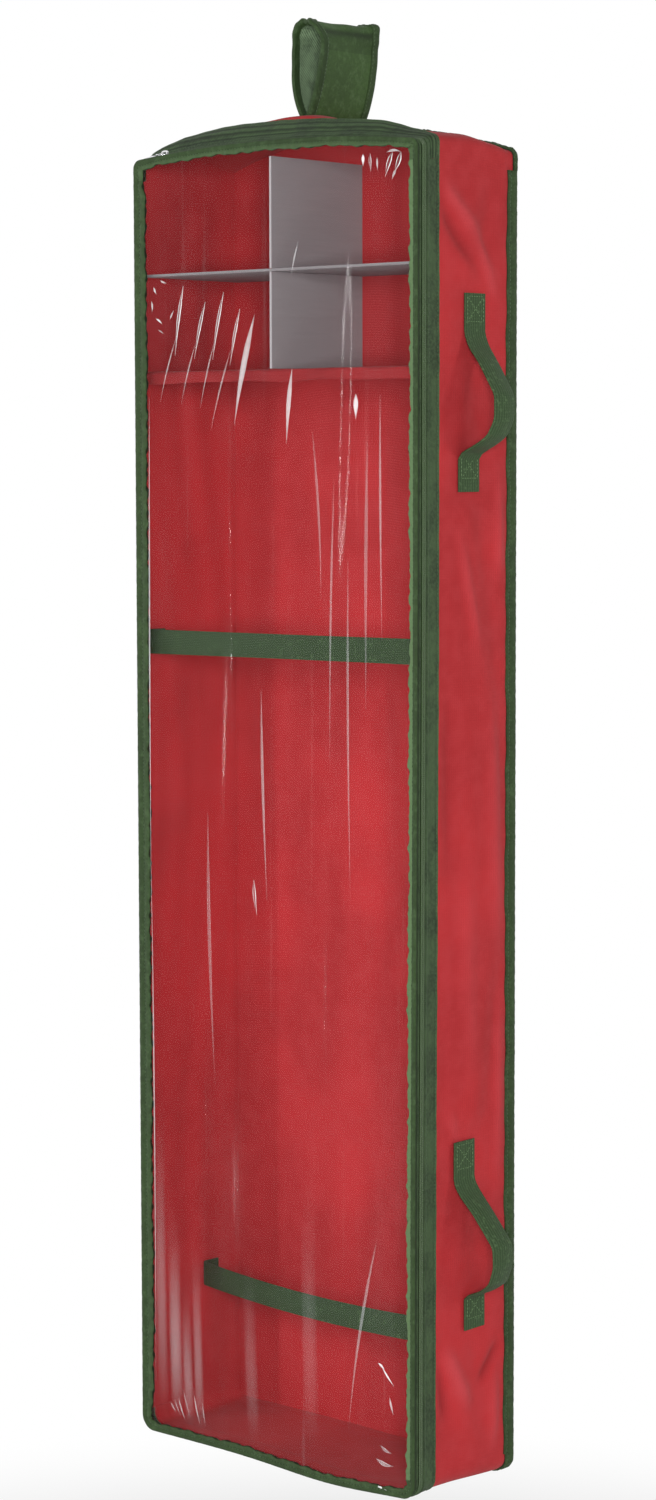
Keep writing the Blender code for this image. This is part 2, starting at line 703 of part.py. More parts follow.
def make_boards(group, cutters):
    """The divider and the mid shelf, each slotted half way for the other."""
    half = INNER_HALF - CLEARANCE
    back = BACK_PANEL_Y - CLEARANCE
    middle = (INSERT_FRONT_Y + back) / 2
    shelf_z = TOP_Z - MID_SHELF_DROP
    foot = TOP_Z - LOWER_SHELF_DROP + CLEARANCE
    divider = box("divider", (DIVIDER_SHIFT - BOARD / 2, INSERT_FRONT_Y, foot),
                  (DIVIDER_SHIFT + BOARD / 2, back, TOP_Z - DIVIDER_DROP), group)
    shelf = box("mid_shelf", (-half, INSERT_FRONT_Y, shelf_z - BOARD), (half, back, shelf_z), group)
    divider_slot = box("divider_slot_cutter",
                       (DIVIDER_SHIFT - OVERRUN, INSERT_FRONT_Y - OVERRUN,
                        shelf_z - BOARD - CLEARANCE),
                       (DIVIDER_SHIFT + OVERRUN, middle + CLEARANCE, shelf_z + CLEARANCE), cutters)
    shelf_slot = box("shelf_slot_cutter",
                     (DIVIDER_SHIFT - BOARD / 2 - CLEARANCE, middle, shelf_z - OVERRUN),
                     (DIVIDER_SHIFT + BOARD / 2 + CLEARANCE, back + OVERRUN, shelf_z + OVERRUN),
                     cutters)
    boolean(divider, divider_slot, "DIFFERENCE")
    boolean(shelf, shelf_slot, "DIFFERENCE")
    make_material(divider, GREY_BOARD)
    make_material(shelf, GREY_BOARD)


def make_lower_shelf(group, cutters):
    """A board in a fabric sleeve that is open at both ends, with a hem at the front."""
    half = INNER_HALF - CLEARANCE
    back = BACK_PANEL_Y - CLEARANCE
    top = TOP_Z - LOWER_SHELF_DROP
    skin = SLEEVE_PLY
    hollow_top = top - skin
    hollow_bottom = hollow_top - SHELF_BOARD - 2 * CLEARANCE
    bottom = hollow_bottom - skin
    sleeve = box("lower_shelf_sleeve", (-half, INSERT_FRONT_Y, bottom), (half, back, top), group)
    hem = box("shelf_hem", (-half, INSERT_FRONT_Y, top - HEM_HEIGHT),
              (half, INSERT_FRONT_Y + 2 * skin, hollow_bottom - skin / 2), cutters)
    hollow = box("sleeve_cutter", (-half - OVERRUN, INSERT_FRONT_Y + skin, hollow_bottom),
                 (half + OVERRUN, back - skin, hollow_top), cutters)
    board = box("lower_shelf_board",
                (-half, INSERT_FRONT_Y + skin + CLEARANCE, hollow_bottom + CLEARANCE),
                (half, back - skin - CLEARANCE, hollow_top - CLEARANCE), group)
    boolean(sleeve, hem, "UNION")
    boolean(sleeve, hollow, "DIFFERENCE")
    make_material(sleeve, RED_FABRIC)
    make_material(board, GREY_BOARD)


def elastic_path(left_setback, right_setback, bow):
    """An elastic strap in X and Y: a tab on each wall and a bowed crossing between them."""
    wall = INNER_HALF - CLEARANCE - ELASTIC_PLY / 2
    left, right = FRONT_Y + left_setback, FRONT_Y + right_setback
    bend = ELASTIC_BEND
    path = [(-wall, left + bend + ELASTIC_TAB), (-wall, left + bend)]
    for step in range(1, 3):
        angle = math.pi / 6 * step
        path.append((-wall + bend * (1 - math.cos(angle)), left + bend * (1 - math.sin(angle))))
    for step in range(CROSSING_STEPS + 1):
        share = step / CROSSING_STEPS
        across = (-wall + bend) + 2 * (wall - bend) * share
        path.append((across, left + (right - left) * share - bow * 4 * share * (1 - share)))
    for step in range(2, 0, -1):
        angle = math.pi / 6 * step
        path.append((wall - bend * (1 - math.cos(angle)), right + bend * (1 - math.sin(angle))))
    return path + [(wall, right + bend), (wall, right + bend + ELASTIC_TAB)]


def make_elastics(group):
    """The two straps across the roll bay."""
    upper = UPPER_ELASTIC_SETBACK
    straps = {"upper_elastic": (TOP_Z - UPPER_ELASTIC_DROP, upper, upper, 0),
              "lower_elastic": (BOTTOM_Z + LOWER_ELASTIC_RISE, LOWER_ELASTIC_LEFT_SETBACK,
                                LOWER_ELASTIC_RIGHT_SETBACK, LOWER_ELASTIC_BOW)}
    for name, (middle, left, right, bow) in straps.items():
        outline = ribbon_outline(elastic_path(left, right, bow), ELASTIC_PLY)
        strap = plan_slab(name, outline, middle - ELASTIC_WIDTH / 2, middle + ELASTIC_WIDTH / 2,
                          group)
        make_material(strap, GREEN_ELASTIC)


def swing_place(which):
    """A point on the upright line that a handle's loop swings about."""
    upper_cut, lower_cut = handle_cuts(handle_path(which))
    across = [point[0] for point in handle_path(which) if point[1] in (upper_cut, lower_cut)]
    return sum(across) / 2, FRONT_Y + HANDLE_SETBACK, (upper_cut + lower_cut) / 2


def chain_place(height):
    """A point over the resting slider, at a height over the chain's outer face."""
    radius, centre_z = arc_frame()
    arm = radius + height
    angle = slider_angle()
    return (-math.sin(angle) * arm, FRONT_Y + BODY_COIL - COIL_GAP / 2,
            centre_z + math.cos(angle) * arm)


def join_up(group):
    """Hang every moving piece on the pivot of its joint."""
    _, arc_centre_z = arc_frame()
    chain_y = chain_place(0)[1]
    bag = make_pivot("bag_pivot", (0, 0, loop_axis_z()), None, group)
    cover = make_pivot("cover_pivot", (-WIDTH / 2, FRONT_Y, (TOP_Z + BOTTOM_Z) / 2), bag, group)
    slider = make_pivot("slider_pivot", (0, chain_y, arc_centre_z), bag, group)
    pull = make_pivot("pull_pivot", chain_place(pull_height()), slider, group)
    swings = {which: make_pivot(f"{which}_handle_pivot", swing_place(which), bag, group)
              for which in HANDLE_TOPS}
    for item in [item for item in group.objects if item.type == "MESH"]:
        if item.name.startswith("loop_"):
            continue
        pivot = bag
        if item.name.startswith("cover_"):
            pivot = cover
        elif item.name.startswith("pull_"):
            pivot = pull
        elif item.name == "zip_slider":
            pivot = slider
        elif item.name.endswith("_handle_loop"):
            pivot = swings[item.name.removesuffix("_handle_loop")]
        carry(pivot, [item])


def main():
    """Build the organizer."""
    clear_scene()
    parts = make_collection("gift_wrap_organizer")
    cutters = make_collection("cutters")
    make_shell(parts)
    make_back_bindings(parts, cutters)
    make_zip_tapes(parts)
    make_coils(parts)
    make_cover(parts, cutters)
    make_slider(parts, cutters)
    make_pull(parts, cutters)
    make_hanging_loop(parts, cutters)
    for which in HANDLE_TOPS:
        make_handle(which, parts, cutters)
    make_boards(parts, cutters)
    make_lower_shelf(parts, cutters)
    make_elastics(parts)
    join_up(parts)


main()
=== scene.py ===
"""Looks for a hanging gift wrap organizer, laid out as a Blender add-on.

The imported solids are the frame. Every cloth piece is made here round them: red non-woven
panels, puckered green bindings, a zip with its tapes and coils, a clear film cover, webbing
handles, elastic straps and the hanging loop. Lengths are in metres, or in millimetres in
the tables that say so.
"""

import math

import bmesh
import bpy
import numpy as np
from bpy.props import FloatProperty, FloatVectorProperty, PointerProperty
from mathutils import Matrix, Vector


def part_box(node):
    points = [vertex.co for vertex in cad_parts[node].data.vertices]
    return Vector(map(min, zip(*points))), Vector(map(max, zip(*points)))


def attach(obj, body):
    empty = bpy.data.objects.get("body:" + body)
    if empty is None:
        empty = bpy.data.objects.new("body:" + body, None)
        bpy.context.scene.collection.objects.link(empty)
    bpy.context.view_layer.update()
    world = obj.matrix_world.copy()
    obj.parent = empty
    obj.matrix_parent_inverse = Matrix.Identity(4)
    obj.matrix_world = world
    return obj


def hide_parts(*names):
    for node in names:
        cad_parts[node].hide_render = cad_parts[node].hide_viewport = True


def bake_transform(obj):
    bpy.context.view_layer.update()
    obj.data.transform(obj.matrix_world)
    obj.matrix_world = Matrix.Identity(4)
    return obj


bl_info = {
    "name": "Gift Wrap Organizer",
    "version": (1, 0, 0),
    "blender": (4, 5, 0),
    "location": "3D View > Sidebar > Organizer",
    "description": "Cloth, zip, film and hardware of a hanging gift wrap organizer",
    "category": "Object",
}

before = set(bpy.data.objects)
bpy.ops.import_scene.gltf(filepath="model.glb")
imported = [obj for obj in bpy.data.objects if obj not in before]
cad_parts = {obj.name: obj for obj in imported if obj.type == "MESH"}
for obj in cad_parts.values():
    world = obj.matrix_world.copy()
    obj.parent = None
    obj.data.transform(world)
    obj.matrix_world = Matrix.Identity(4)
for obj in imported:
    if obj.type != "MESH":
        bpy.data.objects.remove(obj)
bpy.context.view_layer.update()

MM = 0.001

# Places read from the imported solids
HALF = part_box("back_binding_right")[1].x
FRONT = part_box("cover_binding_left")[0].y
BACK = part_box("back_binding_left")[1].y
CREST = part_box("back_binding_top")[1].z
COVER_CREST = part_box("cover_binding_top")[1].z
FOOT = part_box("back_binding_bottom")[0].z
SIDE_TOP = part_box("top_panel")[0].z
SIDE_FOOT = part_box("bottom_panel")[1].z
COVER_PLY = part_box("cover_binding_left")[1].y - FRONT
DEPTH = BACK - FRONT

# Sizes of the sewn parts, in metres
TOP_CORNER = 0.007
BOTTOM_CORNER = 0.013
DOME_RISE = 0.026
TOP = CREST - DOME_RISE
COVER_RISE = COVER_CREST - TOP
HEIGHT = TOP - FOOT
WALL_INSET = 0.0012
WALL = 0.0016
LEFT_BINDING = 0.013
ZIP_BINDING = 0.008
BACK_BINDING = 0.010
HINGE_BINDING = 0.012
CORNER_BINDING = 0.0105
COVER_COIL = 0.0080
BODY_COIL = 0.0105
COIL_RADIUS = 0.0011
COIL_TOOTH = 0.20
FILM_EDGE = 0.0024
FILM_PLY = 0.0004
TAPE_PLY = 0.0008
SLEEVE_PLY = 0.0008
TAPE_START, TAPE_END = 0.0120, 0.0272
WEBBING_WIDTH = 0.0254
WEBBING_PLY = 0.0016
ELASTIC_PLY = 0.0012
ELASTIC_CUP = 0.0010
PATCH_SWELL = 0.0006
PATCH_LIFT = 0.0006
LOOP_HALF = 0.035
LOOP_BINDING = 0.008
CREST_RADIUS = 0.0128
LOOP_TWIST = math.radians(12)
LOOP_LEAN = 0.0035
LOOP_GATHERS = 0.0007
LOOP_SWAY = 0.0005
LOOP_FOLD = 0.0020
LOOP_CREASE = 0.0008
LOOP_TIP = 0.0022
LEFT_SLACK = 0.0048
FOOT_SLACK = 0.0050
BACK_SLACK = 0.0038
BACK_FLARE = 0.0026
ZIP_DRAW = 0.0028
BACK_DIP = 0.0068
BACK_CORNER_DROP = 0.0016
# The panels' laps under the hinge binding and the zip tape, where they slope down to the back
# seam, and how they swell between the seams
HINGE_LAP = 0.006
TAPE_LAP = 0.0135
BACK_STITCH = DEPTH - 0.008
LAP_SINK = 0.0006
SIDE_SWELL = 0.0012
CREASE_GAIN = 2.4
# Crease height that gives full painted shade in a valley and full painted highlight on a ridge
CREASE_SHADE_HEIGHT = 0.0016
LOOP_PULL = 0.0042
CORNER_PUFF = 0.0014

# In the tables from here to BACK_FOLD, lengths are in millimetres
# The zip tapes in cross-section: depth behind the front, inset from the edge and painted shading
# (painted shade above 0 in the grooves by the coil and seams, painted highlight below 0 on
# ridges)
COVER_TAPE = (
    (3.6, 2.6, 1), (4.1, 2.4, 1), (4.5, 1.1, 0.3), (5, 0.7, 0), (5.6, 1, 0.2), (6, 2.2, 1),
    (8.6, 2.2, 1),
)
BODY_TAPE = (
    (9.9, 2.2, 1), (10.8, 2.2, 1), (11.8, 2.1, 1), (12.3, 0.8, 0.3), (13, 0.4, 0), (14, 0.6, 0),
    (15, 1, 0.3), (16, 0.9, 0), (22, 0.9, 0), (25.2, 1, 0.3), (26, 0.8, 0), (26.8, 0.5, -0.2),
    (27.2, 1.2, 1),
)
# Extra lines in the top tape, where it leans back and is seen from the front: painted shade in
# its grooves and painted highlight on the ridges between them
TOP_LINES = (
    (16.6, 1.2, 0.9), (17.2, 0.6, -0.2), (19.6, 1.2, 0.8), (20.3, 0.6, -0.2), (23.2, 1.2, 0.8),
    (23.9, 0.6, -0.1),
)
# The loop's edge binding in cross-section: share of its width and millimetres off the seat
LOOP_EDGE = ((0, 3.0), (0.06, 3.6), (0.3, 3.8), (0.45, 3.5), (0.7, 3.9), (0.93, 3.4),
             (1, 2.0), (0.93, 0.4), (0.6, 0), (0.2, 0), (0, 0.5))
# How far the left shoulder stands up: place across the bag and lift
SHOULDER = MM * np.array((
    (-150, 6), (-128, 8.5), (-113, 8.5), (-98, 7), (-83, 5.8), (-68, 4.5), (-50, 3), (-30, 1),
    (0, 0),
))
# The same for the right shoulder, just behind the zip
RIGHT_SHOULDER = MM * np.array((
    (45, 0), (75, 2), (95, 3.2), (118, 2.8), (130, 3.4), (145, 3.6),
))
# Creases in the right panel: each end's depth and drop below the top, half width and height
SIDE_CREASES = MM * np.array((
    (30, 30, 72, 70, 5.5, 1.4), (70, 68, 94, 116, 5, 1.2), (28, 48, 68, 92, 5, -1.2),
    (51, 297, 72, 385, 4.5, 0.9), (97, 250, 99, 330, 4.5, 0.9), (42, 742, 56, 775, 4, 0.7),
    (38, 928, 62, 978, 6.5, 1.6), (29, 940, 40, 985, 5.5, -1.3), (79, 962, 100, 935, 4.5, -1.3),
    (95, 958, 93, 1020, 5, 0.9), (88, 430, 98, 620, 7, 0.8), (60, 560, 66, 720, 8, 0.6),
    (100, 660, 98, 800, 5, 0.8), (36, 420, 40, 560, 7, -0.6),
))
# Painted glints and painted sheen on the film's folds: each end's place across and drop below the
# top, half width and bend, then how bright the painted middle and rims are
PAINTED_GLINTS = (
    (-92.2, 101, -101, 156, 1.5, 1, 0.22, 0.85),
    (-69.8, 114.3, -81.2, 159, 1.4, 0.8, 0.18, 0.8),
    (-51, 107.3, -62.5, 160, 1.4, 1, 0.2, 0.85),
    (-34.3, 120.9, -44.8, 165, 1.4, 0.8, 0.2, 0.75),
    (-100, 142, -116.8, 192.5, 0.7, 1, 0.3, 0.1), (-80, 147, -94.8, 194.3, 0.7, 1, 0.28, 0.1),
    (-61, 147, -75.3, 197.7, 0.7, 1, 0.28, 0.1), (-44, 153, -64.6, 215.1, 0.8, 1.2, 0.26, 0.1),
    (-18.9, 126.2, -40.6, 211.7, 2.9, 1.8, 0.5, 0.05),
    (20, 168.7, 14, 226.5, 2.2, 1, 0.5, 0.05), (84.5, 188.9, 84.4, 207.8, 2.3, 0, 0.7, 0.1),
    (26.5, 71.8, 19.2, 98.2, 0.8, 0.6, 0.35, 0.1), (92, 9, 92, 18, 1.4, 0, 0.9, 0.1),
    (98.9, 9, 99.6, 22.5, 1.3, 0.3, 0.1, 0.7), (105.8, 12.5, 106.4, 21.8, 0.9, 0.2, 0.5, 0.2),
    (120.8, 9.2, 113.8, 27.2, 1.9, 0.6, 0.05, 0.92), (129, 9.6, 122.6, 24, 2, -0.6, 0.05, 0.92),
    (115, 9.2, 130, 10, 0.9, -1.6, 0.4, 0.4), (124.3, 22, 120.5, 29.6, 1.2, 0.4, 0.4, 0.1),
    (-104.5, 1006, -97, 1024, 0.7, 0.6, 0.36, 0.05),
    (-109, 1008, -102, 1021, 0.6, 0.4, 0.22, 0.05), (-99, 999, -92, 1020, 0.6, 0.6, 0.26, 0.05),
    (-88, 1000, -82, 1023, 0.8, 0.6, 0.34, 0.05),
    (-79.3, 1005, -76, 1024, 0.6, 0.4, 0.28, 0.05),
    (-113, 1011, -107, 1019, 0.8, 0.3, 0.28, 0.05), (-123, 740, -120, 1022, 6, 1.2, 0.1, 0),
    (-108, 840, -105, 1026, 7, 1.2, 0.17, 0), (-96, 900, -92, 1029, 5.5, 1, 0.13, 0),
    (-85, 860, -81, 1030, 5, 1, 0.12, 0), (-30, 860, -24, 1030, 7.5, 1.4, 0.06, 0),
    (35, 780, 38, 1020, 9, 1.6, 0.05, 0), (108, 938, 115, 942.5, 1, -0.4, 0.8, 0.2),
    (112.5, 941, 124.5, 953.5, 0.8, 0.5, 0.85, 0.2), (120, 963, 124, 976, 1, 0.5, 0.5, 0.1),
    (106, 1012, 124.5, 1015.5, 1.6, 1.6, 0.28, 0.25),
    (110, 1001, 123, 1006, 1.2, 1.2, 0.22, 0.2),
    (105, 1033.5, 117, 1035.5, 0.8, -0.4, 0.85, 0.1), (107, 840, 77, 995, 1.4, 3, 0.2, 0.06),
    (-128.5, 190, -130, 610, 0.8, 1, 0.4, 0.1),
    (-130, 570, -128.8, 996.1, 0.7, -0.8, 0.36, 0.1),
    (62.5, 254.2, 57.9, 470.2, 1, 1.5, 0.16, 0.1),
    (40.3, 215.8, 49.1, 346.6, 1.2, -2, 0.13, 0.1),
    (76.5, 315.2, 79, 577.7, 1.1, 1.5, 0.15, 0.12), (96, 220, 94.5, 430, 1.6, 1, 0.12, 0.08),
    (-13.6, 419.1, -8.1, 585.3, 1.3, 1.2, 0.22, 0.16),
    (-22.2, 570.5, -19, 598.2, 1.6, 0.8, 0.1, 0.75), (-70, 520, -64, 740, 1.6, 2, 0.12, 0.1),
    (108.6, 189.9, 110.4, 375.4, 1, 0.8, 0.2, 0.14), (-123, 101, -120, 107, 0.9, 0.4, 0.7, 0.1),
    (-116, 96, -109, 98.5, 0.7, 0.4, 0.6, 0.1), (-125.5, 112, -125, 121, 0.8, -0.5, 0.6, 0.1),
    (-121, 126, -114, 131, 0.8, -0.5, 0.75, 0.1), (-106, 127, -102, 120, 0.7, -0.3, 0.5, 0.1),
    (-119, 135, -112, 139, 0.5, -0.3, 0.4, 0.1),
)
# The back binding's fold in cross-section, down the side and then over the back: share of its
# width, how far off the edge it lies and how much of the puckers it takes
FLANK_FOLD = (
    (1.0, 1.8, 0), (0.985, 0.4, 0.3), (0.9, -0.2, 0.9), (0.8, 0, 0.6), (0.74, 0.6, 0.1),
    (0.66, 0, 0.5), (0.45, -0.3, 0.9), (0.22, -0.3, 0.6), (0.08, 0, 0.2),
)
BACK_FOLD = (
    (0.04, 0.2, 0.1), (0.22, 0, 0.5), (0.45, 0, 0.9), (0.66, 0.3, 0.4), (0.74, 0.8, 0.1),
    (0.86, 0.2, 0.8), (0.97, 0.6, 0.3), (1.0, 1.6, 0),
)

# Half width from which a painted glint is drawn as a broad, soft band of painted sheen
SOFT_GLINT = 0.003
BACK_SEAM = 0.74
COVER_SEAM = 0.53
BINDING_HOLLOW = 0.0022
# A stitch from end to end: how far it stands off the cloth and how thick it is, in radii
STITCH_SINK = np.array([-0.9, 0.5, 0.5, -0.9])[:, None]
STITCH_GIRTH = np.array([0.5, 1.0, 1.0, 0.5])[:, None]
# How far from its sewn ends the webbing leaves the bag, its rounded edge and ribs, its rows of
# points, and two distances from the grip's ends for a turn with the grip, which the script works
# out but does not use
GRIP_START = 0.031
GRIP_END = 0.027
WEBBING_EDGE = 0.0004
WEBBING_RIBS = 2200
HANDLE_ROWS = 181
TURN_FROM, TURN_TO = 0.010, 0.016
# The handles' curves, as shares of length and of reach, and how their two ends sit apart
HANDLE_SHAPES = {
    "upper": ((0, 0), (0.10, 0.13), (0.25, 0.48), (0.50, 0.97), (0.70, 1.0), (0.84, 0.80),
              (0.93, 0.36), (0.975, 0.06), (1, 0)),
    "lower": ((0, 0), (0.10, 0.14), (0.26, 0.50), (0.52, 1.0), (0.70, 0.97), (0.86, 0.78),
              (0.95, 0.40), (0.985, 0.07), (1, 0)),
}
HANDLE_LEANS = {"upper": (0.0050, -0.0022), "lower": (-0.0065, 0.0065)}
# The elastic straps: how far behind the front their two ends are sewn, how far they curve
# forward, how far their ends sit off the middle of their place, and how far they sag
ELASTIC_RUNS = (("upper", (0.012, 0.012), 0.0, (0.0, 0.002), 0.0),
                ("lower", (0.072, 0.026), 0.010, (-0.004, 0.006), 0.0015))
# From point to point along the edges, and how long the two curved edges count as
PANEL_STEP = 0.004
TAPE_STEP = 0.003
BINDING_STEP = 0.0015
TOP_LENGTH = 0.33
BOTTOM_LENGTH = 0.31
MIRROR = np.array([-1, 1, -1, 1])
FLOOR_DROP = 0.36
FLOOR_RADIUS = 7.0
WHITE = (1, 1, 1, 1)
# How much of the white backdrop's light falls on the object
ROOM_LIGHT = 0.26
# The lamps: azimuth in degrees, height over the aim, distance, size and power in watts
LAMPS = (("strip_near", -20, 0.156, 2.6, (0.09, 2.4), 17),
         ("strip_far", -63, 0, 2.6, (0.09, 2.4), 13),
         ("soft_front", 42, 0.336, 2.8, (0.5, 0.8), 51),
         ("soft_left", 3, 0.2016, 2.8, (0.6, 0.9), 5),
         ("soft_side", 120, 0.66, 2.2, (0.4, 0.6), 8))

# The photograph's camera: its frame, focal length and place, from the fit to the bag's corners
PHOTO_SIZE = (656, 1500)
FOCAL_PIXELS = 3275
CAMERA_AZIMUTH = math.radians(40.77)
CAMERA_PITCH = math.radians(5.15)
CAMERA_ROLL = math.radians(-0.13)
CAMERA_AIM = (0.0562, FRONT, TOP - 0.4625)
CAMERA_DISTANCE = 2.5345

# Fine patterns of the cloth, in radians for each metre
BOND_GRID = 3100.0
TIGHT_WEAVE = 9000.0
PICK_SWAY = 2500.0
THREAD_TWIST = 12000.0
PLAIN_CLOTH = {"Sheen Weight": 0.03, "Specular IOR Level": 0.2}


class Wire:
    """A node socket that takes part in Python's arithmetic."""

    def __init__(self, finish, socket):
        self.finish, self.socket = finish, socket

    def __add__(self, other):
        return self.finish.maths("ADD", self, other)

    def __sub__(self, other):
        return self.finish.maths("SUBTRACT", self, other)

    def __rsub__(self, other):
        return self.finish.maths("SUBTRACT", other, self)

    def __mul__(self, other):
        return self.finish.maths("MULTIPLY", self, other)

    __radd__ = __add__
    __rmul__ = __mul__


class Finish:
    """A material being built from nodes."""

    def __init__(self, name, tree=None):
        if tree is None:
            self.material = bpy.data.materials.new(name)
            self.material.use_nodes = True
            tree = self.material.node_tree
        self.tree = tree
        self.tree.nodes.clear()

    def node(self, kind, settings=None, inputs=None, output=0):
        """Add a node, set it up, feed its sockets and give back one of its outputs."""
        node = self.tree.nodes.new(kind)
        for key, value in (settings or {}).items():
            setattr(node, key, value)
        for key, value in (inputs or {}).items():
            if isinstance(value, Wire):
                self.tree.links.new(value.socket, node.inputs[key])
            else:
                node.inputs[key].default_value = value
        return Wire(self, node.outputs[output]) if node.outputs else node

    def maths(self, operation, *values):
        """A Math node on wires and numbers."""
        return self.node("ShaderNodeMath", {"operation": operation}, dict(enumerate(values)))

    def wave(self, phase):
        """A sine from 0 to 1."""
        return 0.5 + 0.5 * self.maths("SINE", phase)

    def between(self, value, low, high):
        """Ease a value from 0 at low to 1 at high."""
        return self.node("ShaderNodeMapRange", {"interpolation_type": "SMOOTHSTEP"},
                         {"Value": value, "From Min": low, "From Max": high})

    def blend(self, share, first, second):
        """Mix two colours."""
        return self.node("ShaderNodeMix", {"data_type": "RGBA"}, {0: share, 6: first, 7: second},
                         2)

    def noise(self, scale, detail=3.0, roughness=0.55, where=None, stretch=None):
        """Noise over the object, from about 0 to 1."""
        where = where or self.place()
        if stretch:
            where = self.node("ShaderNodeMapping", {}, {"Vector": where, "Scale": stretch})
        return self.node("ShaderNodeTexNoise", {}, {"Vector": where, "Scale": scale,
                                                    "Detail": detail, "Roughness": roughness})

    def patches(self, low, high, *noise):
        """Patches of noise, from 0 where it is under low to 1 where it is over high."""
        return self.between(self.noise(*noise), low, high)

    def place(self):
        """Object coordinates, in metres."""
        return self.node("ShaderNodeTexCoord", output=3)

    def split(self, vector):
        """The three parts of a vector."""
        parts = self.node("ShaderNodeSeparateXYZ", {}, {0: vector}).socket.node.outputs
        return [Wire(self, part) for part in parts]

    def layer(self, name):
        """A value that the mesh keeps at each of its points."""
        return self.node("ShaderNodeAttribute", {"attribute_name": name}, output=2)

    def seen(self):
        """1 or more where the floor or the sky is looked at, straight or in a shine."""
        rays = self.node("ShaderNodeLightPath").socket.node.outputs
        return (Wire(self, rays["Is Camera Ray"]) + Wire(self, rays["Is Glossy Ray"])
                + Wire(self, rays["Is Transmission Ray"]))

    def run(self):
        """The cloth's own coordinates in metres: along the run and across it."""
        return self.split(self.node("ShaderNodeUVMap", {"uv_map": "cloth"}))[:2]

    def paint_shading(self, shade, dark, light):
        """Paint shade into a colour where the painted_shading layer is above 0, and paint
        highlight into it where the layer is below 0.
        """
        painted_shading = self.layer("painted_shading")
        shade = self.blend(self.maths("MAXIMUM", painted_shading, 0.0), shade, dark)
        return self.blend(self.maths("MAXIMUM", painted_shading * -1.0, 0.0), shade, light)

    def surface(self, constants, varying, height=None, relief=0.0002, strength=0.6):
        """Close the material with a Principled surface and an optional bump."""
        inputs = {**constants, **varying}
        if height is not None:
            inputs["Normal"] = self.node("ShaderNodeBump", {}, {
                "Height": height, "Distance": relief, "Strength": strength})
        shader = self.node("ShaderNodeBsdfPrincipled", {}, inputs)
        self.node("ShaderNodeOutputMaterial", {}, {"Surface": shader})
        return self.material


def toned(colour, *gains):
    """A colour brightened or darkened, by one gain or by one for each of its parts."""
    return tuple(part * gain for part, gain in zip(colour, gains * (3 // len(gains))))


def rgba(colour, gain=1.0):
    """A colour with full alpha, brightened or darkened."""
    return (*(min(part, 1.0) for part in toned(colour, gain)), 1.0)


def non_woven(name, colour):
    """Spun-bonded cloth: a mottled colour, fibres and a fine grid of embossed bonds."""
    f = Finish(name)
    along, across = f.run()
    broad = f.patches(0.38, 0.64, 9.0, 2.0)
    cloudy = f.patches(0.35, 0.70, 70.0, 4.0)
    fibre = f.noise(900.0, 2.0, 0.7)
    dimple = f.wave(along * BOND_GRID) * f.wave(across * BOND_GRID)
    shade = f.blend(broad, rgba(colour, 0.90), rgba(colour, 1.10))
    shade = f.blend(cloudy * 0.35, shade, rgba(toned(colour, 1.12, 1.7, 1.7)))
    shade = f.blend(dimple * 0.22, shade, rgba(colour, 0.78))
    # Painted shade in the side panel's crease valleys and painted highlight on their ridges, from
    # the painted_shading layer
    shade = f.paint_shading(shade, rgba(colour, 0.60), rgba(toned(colour, 1.18, 2.0, 2.0)))
    return f.surface({"Sheen Weight": 0.05, "Sheen Roughness": 0.5, "Specular IOR Level": 0.14},
                     {"Base Color": shade, "Roughness": fibre * 0.2 + 0.68},
                     fibre * 0.45 + cloudy * 0.4 - dimple * 0.5, 0.0003, 0.55)


def bias_cloth(name, colour, light):
    """Folded bias binding: tight plain cloth with scuffed, paler high spots at random, and
    painted shade and painted highlight from its painted_shading layer.
    """
    f = Finish(name)
    along, across = f.run()
    weave = f.wave(along * TIGHT_WEAVE) * f.wave(across * TIGHT_WEAVE)
    wear_and_highlight = f.patches(0.46, 0.72, 160.0, 4.0, 0.6)
    speck = f.patches(0.40, 0.62, 420.0, 2.0, 0.6)
    broad = f.noise(24.0, 2.0)
    shade = f.blend(f.between(broad, 0.3, 0.7), rgba(colour, 0.80), rgba(colour, 1.12))
    shade = f.blend(wear_and_highlight * 0.50, shade, rgba(light))
    shade = f.blend(speck * 0.35, shade, rgba(colour, 0.55))
    shade = f.blend(weave * 0.25, shade, rgba(colour, 0.7))
    # Painted shade in the bindings' gaps, seams and creases, and painted highlight on their inner
    # halves
    shade = f.paint_shading(shade, rgba(colour, 0.12), rgba(light, 1.25))
    return f.surface(PLAIN_CLOTH,
                     {"Base Color": shade, "Roughness": wear_and_highlight * 0.1 + 0.62},
                     wear_and_highlight * 0.5 + weave * 0.4, 0.0005, 0.6)


def twill(name, colour, light, pitch=0.0016, lean=1.0):
    """Woven tape with slanting ribs that show in patches."""
    f = Finish(name)
    along, across = f.run()
    rib = f.wave((along + across * lean) * (2 * math.pi / pitch))
    cross = f.wave((along * lean - across) * (2 * math.pi / (pitch * 0.55)))
    patch = f.patches(0.36, 0.62, 45.0, 3.0)
    speck = f.patches(0.40, 0.60, 380.0, 2.0, 0.6)
    shade = f.blend(rib * (patch * 0.80 + 0.20), rgba(colour, 0.45), rgba(light, 1.1))
    shade = f.blend(speck * 0.32, shade, rgba(light, 1.0))
    shade = f.blend(cross * 0.18, shade, rgba(colour, 0.4))
    # Painted shade and painted highlight from the painted_shading layer: along the zip tapes'
    # grooves and ridges, and in the loop's creases
    shade = f.paint_shading(shade, rgba(colour, 0.12), rgba(light, 1.2))
    return f.surface(PLAIN_CLOTH,
                     {"Base Color": shade, "Roughness": patch * 0.1 + 0.60},
                     rib * 0.8 + cross * 0.3, 0.0003, 0.7)


